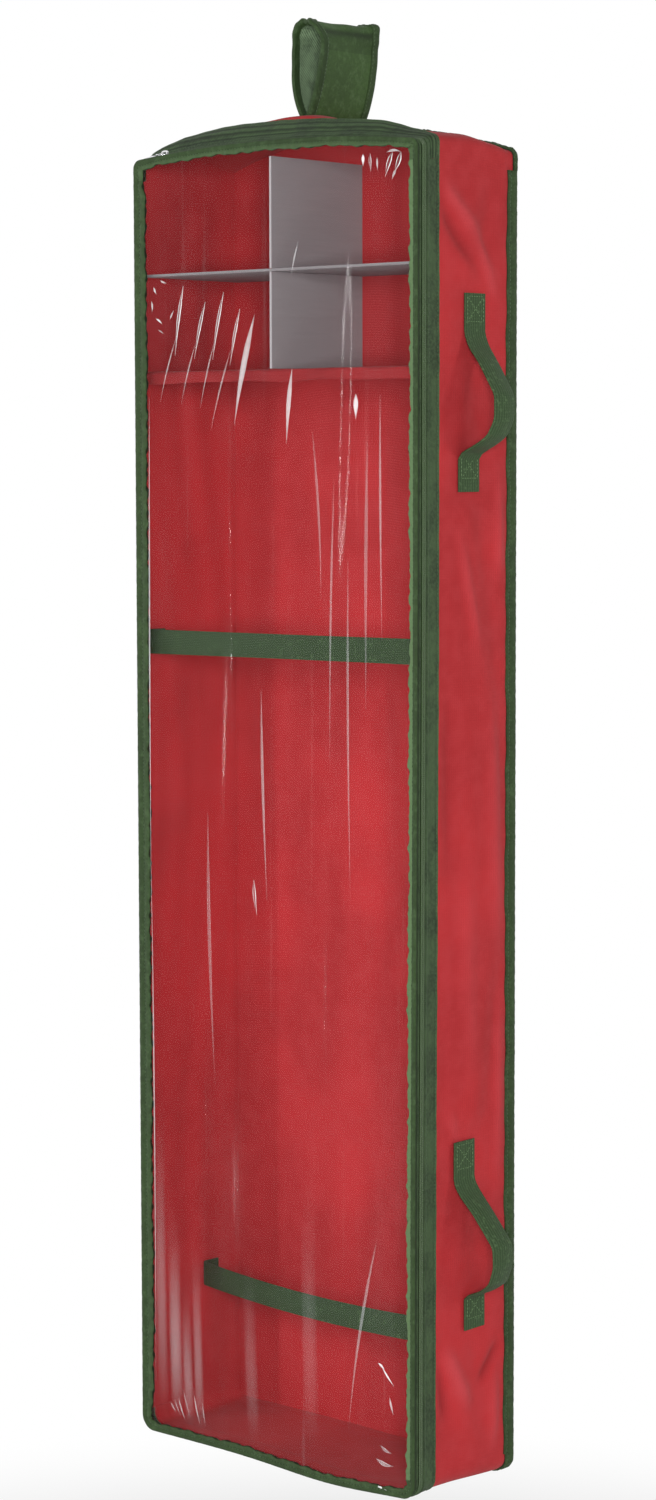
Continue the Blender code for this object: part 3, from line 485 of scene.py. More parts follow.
def ribbed(name, colour, light, rib_pitch, pick_pitch, relief=0.0004):
    """Webbing or elastic: ribs along the run, crossed by picks."""
    f = Finish(name)
    along, across = f.run()
    rib = f.wave(across * (2 * math.pi / rib_pitch))
    pick = f.wave(along * (2 * math.pi / pick_pitch) + f.maths("SINE", across * PICK_SWAY) * 1.2)
    fuzz = f.noise(700.0, 3.0, 0.7)
    fleck = f.patches(0.56, 0.70, 260.0, 2.0, 0.6)
    shade = f.blend(rib * pick * 0.7 + fuzz * 0.25, rgba(colour, 0.74), rgba(light))
    shade = f.blend(fleck * 0.5, shade, rgba(light, 1.3))
    return f.surface(PLAIN_CLOTH,
                     {"Base Color": shade, "Roughness": fuzz * 0.2 + 0.60},
                     rib * 0.5 + pick * 0.6 + fuzz * 0.3, relief, 0.7)


def nylon(name, colour):
    """The zip's coil: a moulded thread with a soft shine."""
    f = Finish(name)
    grain = f.noise(500.0, 2.0)
    return f.surface({"Specular IOR Level": 0.5},
                     {"Base Color": f.blend(grain, rgba(colour, 0.85), rgba(colour, 1.2)),
                      "Roughness": grain * 0.15 + 0.34}, grain, 0.0001, 0.4)


def thread(name, colour):
    """Sewing thread with its twist."""
    f = Finish(name)
    along, _ = f.run()
    turn = f.wave(along * THREAD_TWIST)
    return f.surface({"Specular IOR Level": 0.4},
                     {"Base Color": f.blend(turn, rgba(colour, 0.75), rgba(colour, 1.15)),
                      "Roughness": turn * 0.1 + 0.5})


def chipboard(name, colour, edge_y, painted_edge_gain):
    """Grey board: pressed fibres, and a front edge scaled by painted_edge_gain: a painted
    highlight where it is above 1 and painted shade where it is below 1.
    """
    f = Finish(name)
    where = f.place()
    edge = 1.0 - f.between(f.split(where)[1], edge_y, edge_y + 0.0006)
    fibre = f.noise(60.0, 5.0, 0.7, where, (1.0, 0.35, 6.0))
    speck = f.patches(0.62, 0.74, 800.0, 2.0, 0.8)
    shade = f.blend(fibre, rgba(colour, 0.86), rgba(colour, 1.14))
    shade = f.blend(speck * 0.5, shade, rgba(colour, 0.6))
    # Painted highlight on the front edge where painted_edge_gain is above 1, painted shade where
    # it is below 1
    shade = f.blend(edge * 0.8, shade, rgba(colour, painted_edge_gain))
    return f.surface({"Specular IOR Level": 0.3},
                     {"Base Color": shade, "Roughness": fibre * 0.15 + 0.62},
                     fibre + speck * 0.4, 0.0003, 0.4)


def nickel(name, colour):
    """Bright plated metal with fine scratches."""
    f = Finish(name)
    scratch = f.noise(300.0, 4.0, 0.7, None, (1.0, 8.0, 1.0))
    return f.surface({"Metallic": 1.0},
                     {"Base Color": f.blend(scratch, rgba(colour, 0.85), rgba(colour, 1.05)),
                      "Roughness": scratch * 0.22 + 0.14}, scratch, 0.00005, 0.3)


def clear_film(name, tint):
    """Clear vinyl: a thin gloss with fine upright drawing lines."""
    f = Finish(name)
    haze = f.patches(0.50, 0.80, 10.0, 3.0, 0.6, None, (2.2, 1.0, 0.35))
    line = f.patches(0.60, 0.78, 40.0, 3.0, 0.7, None, (2.5, 1.0, 0.06))
    return f.surface({"Metallic": 1.0, "Base Color": rgba(tint)},
                     {"Roughness": haze * 0.10 + 0.07,
                      "Alpha": line * 0.020 + haze * 0.008 + 0.004}, line, 0.0003, 0.4)


def painted_film_glints(name, tint):
    """Painted glints on the film's folds: white marks, brighter along the rims than in the
    middle, that stand in for light caught on them.
    """
    f = Finish(name)
    across = f.run()[1]
    fill = f.layer("fill")
    rim = f.layer("rim")
    out = across * across
    mottle = f.noise(220.0, 2.0)
    soft = f.layer("soft")
    clear = (1.0 - out * (soft * 0.55 + 0.45)) * fill + f.between(out, 0.25, 0.75) * rim
    return f.surface({"Specular IOR Level": 0.6, "Base Color": rgba(tint)},
                     {"Roughness": mottle * 0.10 + 0.12,
                      "Alpha": f.maths("MINIMUM", clear * (mottle * 0.4 + 0.8), 0.92)})


def ripple(place, lengths, seed):
    """Waves of several lengths along a run, from about -1 to 1."""
    draw = np.random.default_rng(seed)
    total = np.zeros_like(place)
    for length in lengths:
        total += np.sin(2 * math.pi * place / length + draw.uniform(0, 2 * math.pi))
    return total / math.sqrt(len(lengths))


def crumple(first, second, lengths, seed, spread=math.pi):
    """Waves of several lengths and directions over a sheet."""
    draw = np.random.default_rng(seed)
    total = np.zeros_like(first)
    for length in lengths:
        turn = draw.uniform(-spread, spread)
        slope = first * math.cos(turn) + second * math.sin(turn)
        total += np.sin(2 * math.pi * slope / length + draw.uniform(0, 2 * math.pi))
    return total / math.sqrt(len(lengths))


def ease(value, low, high):
    """A smooth step from 0 at low to 1 at high."""
    share = np.clip((value - low) / (high - low), 0, 1)
    return share * share * (3 - 2 * share)


def hump(value, middle, width):
    """A smooth hump of height 1 about a middle."""
    return np.exp(-((value - middle) / width) ** 2)


def joined(*parts):
    """Points from their coordinates, each of which is a row of numbers or one number."""
    return np.stack(np.broadcast_arrays(*parts), axis=-1)


def unit(vectors):
    """The same directions, each of length 1."""
    return vectors / np.maximum(np.linalg.norm(vectors, axis=-1, keepdims=True), 1e-12)


def heading(path):
    """The direction along a row of points."""
    return unit(np.gradient(path, axis=0))


def bulge(points):
    """The bag's own slack: a fuller left side, two shoulders behind the zip, a zipped edge drawn
    in low down, a flared back and a sagging foot."""
    points = np.array(points, dtype=float)
    x, depth, z = points[..., 0].copy(), points[..., 1] - FRONT, points[..., 2].copy()
    points[..., 0] -= LEFT_SLACK * ease(-x, HALF * 0.2, HALF)
    behind = ease(x, HALF * 0.55, HALF) * ease(depth, 0.050, DEPTH)
    points[..., 0] += BACK_FLARE * behind
    drawn = ease(x, 0, HALF) * (1 - ease(depth, 0.030, 0.080))
    points[..., 0] -= ZIP_DRAW * drawn * (1 - ease(z, FOOT + 0.05, FOOT + 0.80))
    low = 1 - ease(z, FOOT + 0.004, FOOT + 0.100)
    front = hump(x, 0.055, 0.070) * (1 - 0.6 * ease(depth, 0.030, 0.100))
    points[..., 2] -= low * (FOOT_SLACK * front + BACK_SLACK * behind)
    upper = ease(z, TOP - 0.035, TOP - 0.004)
    lift = np.interp(x, *SHOULDER.T) * (1 - ease(depth, 0.060, 0.110))
    lift += np.interp(x, *RIGHT_SHOULDER.T) * (1 - ease(depth, 0.058, 0.104))
    points[..., 2] += lift * upper * ease(depth, 0.0105, 0.022)
    corner = ease(x, 0.105, 0.138) * ease(depth, 0.098, 0.112)
    points[..., 2] -= BACK_CORNER_DROP * corner * ease(z, TOP - 0.060, TOP - 0.004)
    return points


def new_object(name, data):
    """An object in the scene for a mesh, a lamp or a camera."""
    thing = bpy.data.objects.new(name, data)
    bpy.context.scene.collection.objects.link(thing)
    return thing


def keep_layer(mesh, name, values):
    """Store a value for each point of a mesh, for its material."""
    layer = mesh.attributes.new(name, "FLOAT", "POINT")
    layer.data.foreach_set("value", np.asarray(values, dtype=np.float32).ravel())


def mesh_piece(name, points, faces, body, material, flat=None, painted_shading=None):
    """A smooth mesh of points and faces that rides on a body.

    The painted_shading values paint shade on a point of the cloth from 0 to 1, and paint
    highlight on it below 0.
    """
    mesh = bpy.data.meshes.new(name)
    mesh.from_pydata([tuple(point) for point in np.asarray(points).reshape(-1, 3)], [], faces)
    if flat is not None:
        layer = mesh.uv_layers.new(name="cloth")
        corners = np.zeros(len(mesh.loops), dtype=np.int32)
        mesh.loops.foreach_get("vertex_index", corners)
        layer.data.foreach_set("uv", np.asarray(flat, dtype=np.float32)[corners].ravel())
    if painted_shading is not None:
        keep_layer(mesh, "painted_shading", painted_shading)
    shape = bmesh.new()
    shape.from_mesh(mesh)
    bmesh.ops.recalc_face_normals(shape, faces=shape.faces)
    shape.to_mesh(mesh)
    shape.free()
    mesh.shade_smooth()
    mesh.set_sharp_from_angle(angle=math.radians(62))
    piece = new_object(name, mesh)
    piece.data.materials.append(material)
    if body:
        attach(piece, body)
    return piece


def strip_faces(rows, columns, wrap):
    """The quads between rows of points, wrapped round each row or not."""
    faces = []
    for row in range(rows - 1):
        for column in range(columns if wrap else columns - 1):
            after = (column + 1) % columns
            faces.append((row * columns + column, row * columns + after,
                          (row + 1) * columns + after, (row + 1) * columns + column))
    return faces


def distances(points):
    """How far along a row of points each of them lies."""
    steps = np.linalg.norm(np.diff(points, axis=0), axis=1)
    return np.concatenate([[0], np.cumsum(steps)])


def unrolled(along, across):
    """The flat place of every point of a grid, from its distances both ways."""
    return np.stack(np.meshgrid(along, across, indexing="ij"), axis=-1).reshape(-1, 2)


def sweep(name, rings, body, material, painted_shading=None):
    """A solid through closed rings of points, capped at both ends."""
    rings = np.asarray(rings)
    rows, columns = rings.shape[:2]
    faces = strip_faces(rows, columns, True)
    faces.append(tuple(range(columns)))
    faces.append(tuple((rows - 1) * columns + column for column in reversed(range(columns))))
    flat = unrolled(distances(rings.mean(axis=1)), distances(rings[rows // 2]))
    painted_shading = None if painted_shading is None else np.broadcast_to(painted_shading, (rows, columns))
    return mesh_piece(name, rings, faces, body, material, flat, painted_shading)


def normals_of(grid):
    """The normal at each point of a grid."""
    return unit(np.cross(np.gradient(grid, axis=0), np.gradient(grid, axis=1)))


def cloth(name, grid, thickness, body, material, painted_shading=None):
    """A sheet of some thickness about a grid of points, with closed edges."""
    grid = np.asarray(grid)
    rows, columns = grid.shape[:2]
    half = normals_of(grid) * thickness / 2
    points = np.concatenate([(grid + half).reshape(-1, 3), (grid - half).reshape(-1, 3)])
    count = rows * columns
    top = strip_faces(rows, columns, False)
    faces = top + [tuple(count + corner for corner in reversed(face)) for face in top]
    rim = list(range(columns))
    rim += [row * columns + columns - 1 for row in range(1, rows)]
    rim += [(rows - 1) * columns + column for column in reversed(range(columns - 1))]
    rim += [row * columns for row in reversed(range(1, rows - 1))]
    for here, after in zip(rim, rim[1:] + rim[:1]):
        faces.append((here, count + here, count + after, after))
    flat = unrolled(distances(grid[:, columns // 2]), distances(grid[rows // 2]))
    if painted_shading is not None:
        painted_shading = np.tile(np.broadcast_to(painted_shading, (rows, columns)).ravel(), 2)
    return mesh_piece(name, points, faces, body, material, np.concatenate([flat, flat]),
                      painted_shading)


def read_at(spots, where, points):
    """Points at some distances along a row of them."""
    return joined(*(np.interp(spots, where, column) for column in np.asarray(points).T))


def resample(points, count):
    """Points at even distances along a row of them."""
    where = distances(points)
    return read_at(np.linspace(0, where[-1], count), where, points)


def stitch_row(path, out, pitch, length, radius):
    """Points and faces of stitches that lie along a path, on the side that out points to."""
    where = distances(path)
    points, faces, flat = [], [], []
    for start in np.arange(pitch / 2, where[-1] - length, pitch):
        spots = start + np.linspace(0, length, 4)
        middle = read_at(spots, where, path)
        face = unit(read_at(spots, where, out))
        side = np.cross(unit(middle[-1] - middle[0]), face)
        sink, thick = STITCH_SINK * radius, STITCH_GIRTH * radius
        first = len(points)
        for corner in ((1, 0), (0, 1), (-1, 0), (0, -1)):
            ring = middle + face * (sink + corner[1] * thick) + side * corner[0] * thick
            points.extend(ring)
            flat.extend((spot, corner[0] * radius) for spot in spots)
        for turn in range(4):
            after = (turn + 1) % 4
            for step in range(3):
                faces.append((first + turn * 4 + step, first + turn * 4 + step + 1,
                              first + after * 4 + step + 1, first + after * 4 + step))
        faces.append(tuple(first + turn * 4 for turn in range(4)))
        faces.append(tuple(first + turn * 4 + 3 for turn in reversed(range(4))))
    return points, faces, flat


def stitches(name, rows, body, material, sizes):
    """One piece made of all the stitches along several rows of path and outward direction."""
    points, faces, flat = [], [], []
    for path, out in rows:
        more, quads, spread = stitch_row(path, np.broadcast_to(out, path.shape),
                                         sizes.stitch_pitch, sizes.stitch_length,
                                         sizes.thread_radius)
        faces.extend(tuple(len(points) + corner for corner in quad) for quad in quads)
        points.extend(more)
        flat.extend(spread)
    return mesh_piece(name, points, faces, body, material, np.array(flat))


def arc_top(rise, dip):
    """Dense points and outward directions over the top, from the left side to the right."""
    radius = (HALF ** 2 + rise ** 2) / (2 * rise)
    centre = TOP + rise - radius
    fillet_x = HALF - TOP_CORNER
    reach = radius - TOP_CORNER
    fillet_z = centre + math.sqrt(reach ** 2 - fillet_x ** 2)
    lean = math.asin(fillet_x / reach)
    arc = np.linspace(0, lean, 120)
    fillet = np.linspace(lean, math.pi / 2, 40)[1:]
    x = np.concatenate([np.sin(arc) * radius, fillet_x + np.sin(fillet) * TOP_CORNER, [HALF]])
    z = np.concatenate([centre + np.cos(arc) * radius, fillet_z + np.cos(fillet) * TOP_CORNER,
                        [SIDE_TOP]])
    turn = np.concatenate([arc, fillet, [math.pi / 2]])
    right = joined(x, z, np.sin(turn), np.cos(turn))
    left = right[:0:-1] * MIRROR
    right[:, 1] -= dip * ease(x, 0, 0.060) * (1 - ease(x, 0.108, 0.134))
    return np.concatenate([left, right])


def arc_bottom():
    """Dense points and outward directions under the bottom, from the right side to the left."""
    turn = np.linspace(math.pi / 2, math.pi, 40)
    x = HALF - BOTTOM_CORNER + np.sin(turn) * BOTTOM_CORNER
    z = FOOT + BOTTOM_CORNER + np.cos(turn) * BOTTOM_CORNER
    right = joined(x, z, np.sin(turn), np.cos(turn))
    right = np.concatenate([[[HALF, SIDE_FOOT, 1, 0]], right])
    flat = np.linspace(HALF - BOTTOM_CORNER, -(HALF - BOTTOM_CORNER), 80)[1:-1]
    return np.concatenate([right, joined(flat, FOOT, 0, -1), right[::-1] * MIRROR])


def side_run(side):
    """Points and outward directions up the left side or down the right side."""
    ends = (SIDE_FOOT, SIDE_TOP) if side < 0 else (SIDE_TOP, SIDE_FOOT)
    z = np.linspace(*ends, 200)
    return joined(side * HALF, z, side, 0)


def top_and_foot(x, rise, dip, inset):
    """How high and how low a sheet reaches at places across the bag, inside its edge."""
    over, under = arc_top(rise, dip), arc_bottom()[::-1]
    return (np.interp(x, over[:, 0], over[:, 1]) - inset,
            np.interp(x, under[:, 0], under[:, 1]) + inset)


def edge_run(part, rise, spacing, dip=0.0):
    """One side of the bag's edge as x, z, outward x and outward z at even distances."""
    if part == "top":
        dense, length = arc_top(rise, dip), TOP_LENGTH
    elif part == "bottom":
        dense, length = arc_bottom(), BOTTOM_LENGTH
    else:
        dense, length = side_run(-1 if part == "left" else 1), SIDE_TOP - SIDE_FOOT
    where = distances(dense[:, :2])
    spots = np.linspace(0, where[-1], int(round(length / spacing)) + 1)
    run = read_at(spots, where, dense)
    run[:, 2:] = unit(run[:, 2:])
    return run, spots


def chained_run(parts, rise, spacing):
    """Several sides of the edge joined into one run."""
    runs = [edge_run(part, rise, spacing)[0] for part in parts]
    chain = np.concatenate([runs[0]] + [run[1:] for run in runs[1:]])
    return chain, distances(chain[:, :2])


def rise_at(depth):
    """How far the top domes up at a depth behind the front."""
    return COVER_RISE + (DOME_RISE - COVER_RISE) * ease(depth, 0.008, 0.030)


def dip_at(depth):
    """How far the shoulders of the top sink at a depth behind the front."""
    return BACK_DIP * ease(depth, 0.026, 0.070) * (1 - 0.60 * ease(depth, 0.080, 0.110))


def at_edge(run, inset, depth):
    """Points along an edge run, at an inset from it and a depth behind the front."""
    return joined(run[:, 0] - run[:, 2] * inset, FRONT + depth, run[:, 1] - run[:, 3] * inset)


def seam_row(run, inset, depth, out=None):
    """The path of a row of stitches along an edge, and the side that it shows on."""
    out = joined(run[:, 2], 0, run[:, 3]) if out is None else out
    return bulge(at_edge(run, inset, depth)), out


def cover_profile():
    """The folded binding in section: shares of its width, heights off the film's middle."""
    shares = np.array([1.0, 0.97, 0.90, 0.78, 0.66, 0.58, 0.53, 0.48, 0.38, 0.24, 0.11, 0.03])
    heights = np.array([0.45, 1.05, 1.45, 1.50, 1.25, 0.92, 0.84, 0.95, 1.30, 1.50, 1.30, 0.70])
    front = list(zip(shares, heights * MM))
    back = [(inset, -height * 0.95) for inset, height in reversed(front)]
    return np.array(front + [(0.0, 0.0)] + back)


def patch_calm(z, depth):
    """How firmly the handles' sewn ends hold the side panel at a height and a depth."""
    calm = np.zeros_like(z)
    for which in ("upper", "lower"):
        for end in ("top", "bottom"):
            low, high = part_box(f"{which}_handle_{end}_patch")
            middle, half = (low.z + high.z) / 2, (high.z - low.z) / 2
            near = 1 - ease(np.abs(z - middle), half, half + 0.022)
            calm = np.maximum(calm, near)
    across = abs(FRONT + depth - (low.y + high.y) / 2)
    return calm * (1 - ease(across, 0.020, 0.046))


def refinish(material, *nodes):
    """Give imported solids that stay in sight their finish."""
    for node in nodes:
        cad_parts[node].data.materials.clear()
        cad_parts[node].data.materials.append(material)


def look(context):
    """The scene's organizer sizes and colours."""
    return context.scene.organizer_sizes, context.scene.organizer_colours


def length_property(name, description, default, **limits):
    """A length that a user may change."""
    return FloatProperty(name=name, description=description, default=default,
                         subtype="DISTANCE", unit="LENGTH", **limits)


def colour_property(name, description, default):
    """A colour that a user may change."""
    return FloatVectorProperty(name=name, description=description, subtype="COLOR", size=3,
                               min=0, max=1, default=default)


class OrganizerSizes(bpy.types.PropertyGroup):
    """Sizes that a user may change."""

    pucker: length_property("Pucker", "Height of the puckers in the bindings", 0.0006,
                            min=0, max=0.002)
    fold: length_property("Fold", "Depth of the soft folds in the red panels", 0.0016,
                          min=0, max=0.006)
    film_wave: length_property("Film wave", "Depth of the waves in the film", 0.0006,
                               min=0, max=0.003)
    stitch_pitch: length_property("Stitch pitch", "From stitch to stitch", 0.0030, min=0.001)
    stitch_length: length_property("Stitch length", "Length of one stitch", 0.0023,
                                   min=0.0005)
    thread_radius: length_property("Thread radius", "Half the thread's width", 0.00022,
                                   min=0.0001)
    coil_pitch: length_property("Coil pitch", "From tooth to tooth of the zip", 0.0014,
                                min=0.0006)


class OrganizerColours(bpy.types.PropertyGroup):
    """Colours that a user may change."""

    red: colour_property("Red cloth", "The non-woven panels", (0.43, 0.026, 0.030))
    green: colour_property("Green cloth", "The bindings and the loop", (0.026, 0.053, 0.014))
    # Also the colour that the bindings', tapes' and loop's painted highlights are made from
    green_light: colour_property("Rubbed green", "High spots of the green cloth",
                                 (0.080, 0.134, 0.058))
    tape: colour_property("Zip tape", "The woven tape of the zip", (0.024, 0.054, 0.016))
    lining: colour_property("Lining", "The loop's twill lining", (0.190, 0.275, 0.160))
    webbing: colour_property("Webbing", "The handles and the elastic straps",
                             (0.024, 0.056, 0.016))
    thread: colour_property("Thread", "All the stitching", (0.060, 0.115, 0.045))
    board: colour_property("Board", "The divider and the shelves", (0.29, 0.265, 0.275))
    metal: colour_property("Metal", "The slider and its pull", (0.78, 0.78, 0.80))
    film: colour_property("Film", "The clear cover", (0.96, 0.97, 0.98))


def make_floor():
    """A pale floor that fades to white beyond the object's shadow."""
    shape = bmesh.new()
    bmesh.ops.create_circle(shape, cap_ends=True, segments=96, radius=FLOOR_RADIUS)
    mesh = bpy.data.meshes.new("floor")
    shape.to_mesh(mesh)
    shape.free()
    floor = new_object("floor", mesh)
    floor.location.z = FOOT - FLOOR_DROP
    f = Finish("pale_floor")
    seen = f.seen()
    away = f.node("ShaderNodeVectorMath", {"operation": "LENGTH"}, {0: f.place()}, output=1)
    share = f.maths("MINIMUM", seen, 1.0) * f.between(away, 0.35, 1.25)
    grain = f.noise(30.0, 2.0)
    plain = f.node("ShaderNodeBsdfPrincipled", {}, {
        "Base Color": f.blend(grain, rgba(WHITE, 0.86), rgba(WHITE, 0.90)),
        "Roughness": 0.9})
    glow = f.node("ShaderNodeEmission", {}, {"Color": WHITE, "Strength": 1.0})
    mix = f.node("ShaderNodeMixShader", {}, {0: share, 1: plain, 2: glow})
    f.node("ShaderNodeOutputMaterial", {}, {"Surface": mix})
    floor.data.materials.append(f.material)


def make_world(scene):
    """White where it is seen, and a softer light on the object."""
    world = bpy.data.worlds.new("soft_room")
    world.use_nodes = True
    scene.world = world
    f = Finish("soft_room", world.node_tree)
    strength = f.maths("MINIMUM", f.seen(), 1.0) * (1 - ROOM_LIGHT) + ROOM_LIGHT
    sky = f.node("ShaderNodeBackground", {}, {"Color": WHITE, "Strength": strength})
    f.node("ShaderNodeOutputWorld", {}, {"Surface": sky})


def make_lamp(aim, name, azimuth, height, distance, size, power):
    """One area lamp that faces the bag."""
    turn = math.radians(azimuth)
    place = aim + Vector((math.sin(turn), -math.cos(turn), 0)) * distance
    place.z += height
    data = bpy.data.lights.new(name, "AREA")
    data.shape = "RECTANGLE"
    data.size, data.size_y = size
    data.energy = power
    lamp = new_object(name, data)
    lamp.location = place
    lamp.rotation_euler = (aim - place).to_track_quat("-Z", "Y").to_euler()


def make_camera(scene):
    """The photograph's view."""
    turn, pitch = CAMERA_AZIMUTH, CAMERA_PITCH
    back = Vector((math.sin(turn) * math.cos(pitch), -math.cos(turn) * math.cos(pitch),
                   math.sin(pitch)))
    right = Vector((math.cos(turn), math.sin(turn), 0))
    up = back.cross(right)
    lean, rise = math.cos(CAMERA_ROLL), math.sin(CAMERA_ROLL)
    right, up = right * lean + up * rise, up * lean - right * rise
    data = bpy.data.cameras.new("photo_camera")
    data.sensor_fit = "VERTICAL"
    data.sensor_height = 24.0
    data.lens = FOCAL_PIXELS / PHOTO_SIZE[1] * data.sensor_height
    data.clip_end = 40.0
    camera = new_object("photo_camera", data)
    turned = Matrix((right, up, back)).transposed().to_4x4()
    camera.matrix_world = Matrix.Translation(Vector(CAMERA_AIM) + back * CAMERA_DISTANCE) @ turned
    scene.camera = camera


class ORGANIZER_OT_stage(bpy.types.Operator):
    """Make the floor, the light and the photograph's camera"""

    bl_idname = "organizer.stage"
    bl_label = "Stage"

    def execute(self, context):
        make_floor()
        make_world(context.scene)
        middle = Vector((0, 0, TOP - HEIGHT * 0.45))
        for lamp in LAMPS:
            make_lamp(middle, *lamp)
        make_camera(context.scene)
        context.scene.view_settings.view_transform = "Standard"
        return {"FINISHED"}


def make_gusset(part, sizes, red):
    """One side of the strip round the bag, slack between its seams."""
    first = HINGE_LAP if part == "left" else TAPE_END - TAPE_LAP
    bare = first if part == "left" else TAPE_END
    depths = np.concatenate([np.linspace(first, bare, 5)[:-1], bare + 0.0015 * np.arange(3),
                             np.linspace(bare + 0.0050, DEPTH - BINDING_HOLLOW, 30)])
    rows, painted_shades = [], []
    for depth in depths:
        run, along = edge_run(part, rise_at(depth), PANEL_STEP, dip_at(depth))
        share = along / along[-1]
        where = np.full_like(along, depth)
        slack = math.sin(math.pi * min(max((depth - bare) / (BACK_STITCH - bare), 0), 1))
        crease_shading = np.zeros_like(along)
        if part in ("left", "right"):
            folds = 0.5 * ripple(where + 0.02 * np.sin(along * 9), (0.046, 0.031, 0.083), 5)
            folds += 0.35 * crumple(along, where, (0.31, 0.19, 0.12, 0.09), 11, 0.9)
            pull = 0.6 * hump(along, 0.055, 0.008)
            swell = slack * sizes.fold * (0.9 + folds - pull)
            swell += slack * SIDE_SWELL * np.sin(math.pi * share)
            if part == "right":
                crease = crease_height(depth, TOP - run[:, 1]) * min(slack * 3, 1)
                swell += CREASE_GAIN * crease
                # Painted shade in the creases' valleys and painted highlight on their ridges
                crease_shading = -crease / CREASE_SHADE_HEIGHT
                calm = patch_calm(run[:, 1], depth)
                swell = swell * (1 - calm) + PATCH_SWELL * calm
        elif part == "top":
            swell = slack * sizes.fold * 0.4 * (1 + crumple(along, where, (0.09, 0.06), 3))
            peak = hump(run[:, 0], 0, 0.030) * hump(depth, 0.050, 0.032)
            swell += LOOP_PULL * peak + CORNER_PUFF * hump(run[:, 0], 0.138, 0.014) * slack
        else:
            swell = slack * sizes.fold * (0.5 + 0.4 * crumple(along, where, (0.11, 0.07), 4))
        meet = ease(np.minimum(along, along[-1] - along), 0, 0.035)
        swell = swell * meet + slack * sizes.fold * 0.6 * (1 - meet)
        under = min((depth < bare + 0.0005) + ease(depth, 0.106, 0.111), 1)
        swell = swell * (1 - under) - LAP_SINK * under
        rows.append(at_edge(run, WALL_INSET + WALL * 0.6 - swell, depth))
        painted_shades.append(crease_shading)
    grid = bulge(np.array(rows))
    panel = cloth(f"{part}_gusset", grid, WALL, "bag", red, np.array(painted_shades))
    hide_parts(f"{part}_panel")


def crease_height(depth, drop):
    """The creases' height at a depth, for a row of drops below the top."""
    height = np.zeros_like(drop)
    for first_depth, first_drop, last_depth, last_drop, half, rise in SIDE_CREASES:
        along = np.array([last_depth - first_depth, last_drop - first_drop])
        length = np.linalg.norm(along)
        along = along / length
        where = (depth - first_depth) * along[0] + (drop - first_drop) * along[1]
        off = (depth - first_depth) * along[1] - (drop - first_drop) * along[0]
        taper = ease(where, -0.15 * length, 0.3 * length)
        taper = taper * (1 - ease(where, 0.7 * length, 1.15 * length))
        height += rise * taper * hump(off, 0, half)
    return height


def make_back(sizes, red):
    """The back panel, with long soft folds down from the shelf."""
    limit = HALF - WALL_INSET
    x = np.sin(np.linspace(-math.pi / 2, math.pi / 2, 72)) * limit
    x = np.linspace(-limit, limit, 72) * 0.5 + x * 0.5
    boards = (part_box("lower_shelf_sleeve")[0].z - 0.006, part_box("divider")[1].z + 0.006)
    top, foot = top_and_foot(x, DOME_RISE, dip_at(DEPTH), WALL_INSET)
    rows = []
    for share in np.linspace(0, 1, 220):
        z = foot + (top - foot) * share
        free = np.clip(1 - (x / limit) ** 2, 0, 1) ** 0.7 * math.sin(math.pi * share) ** 0.4
        down = ease(TOP - z, 0.17, 0.24)
        free = free * (1 - ease(z, boards[0] - 0.040, boards[0])
                       * (1 - ease(z, boards[1], boards[1] + 0.020)))
        folds = ripple(x + 0.012 * np.sin(z * 5 + 1), (0.071, 0.118, 0.049), 21)
        broad = crumple(x, z, (0.21, 0.33, 0.14), 8)
        y = BACK - 0.0021 - free * sizes.fold * 1.6 * (1.1 + down * folds + 0.6 * broad)
        rows.append(joined(x, y, z))
    panel = cloth("back_sheet", bulge(np.array(rows)), WALL, "bag", red)
    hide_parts("back_panel")


class ORGANIZER_OT_panels(bpy.types.Operator):
    """Make the red panels of the bag"""

    bl_idname = "organizer.panels"
    bl_label = "Red panels"

    def execute(self, context):
        sizes, colours = look(context)
        red = non_woven("red_non_woven", colours.red)
        for part in ("left", "right", "top", "bottom"):
            make_gusset(part, sizes, red)
        make_back(sizes, red)
        return {"FINISHED"}


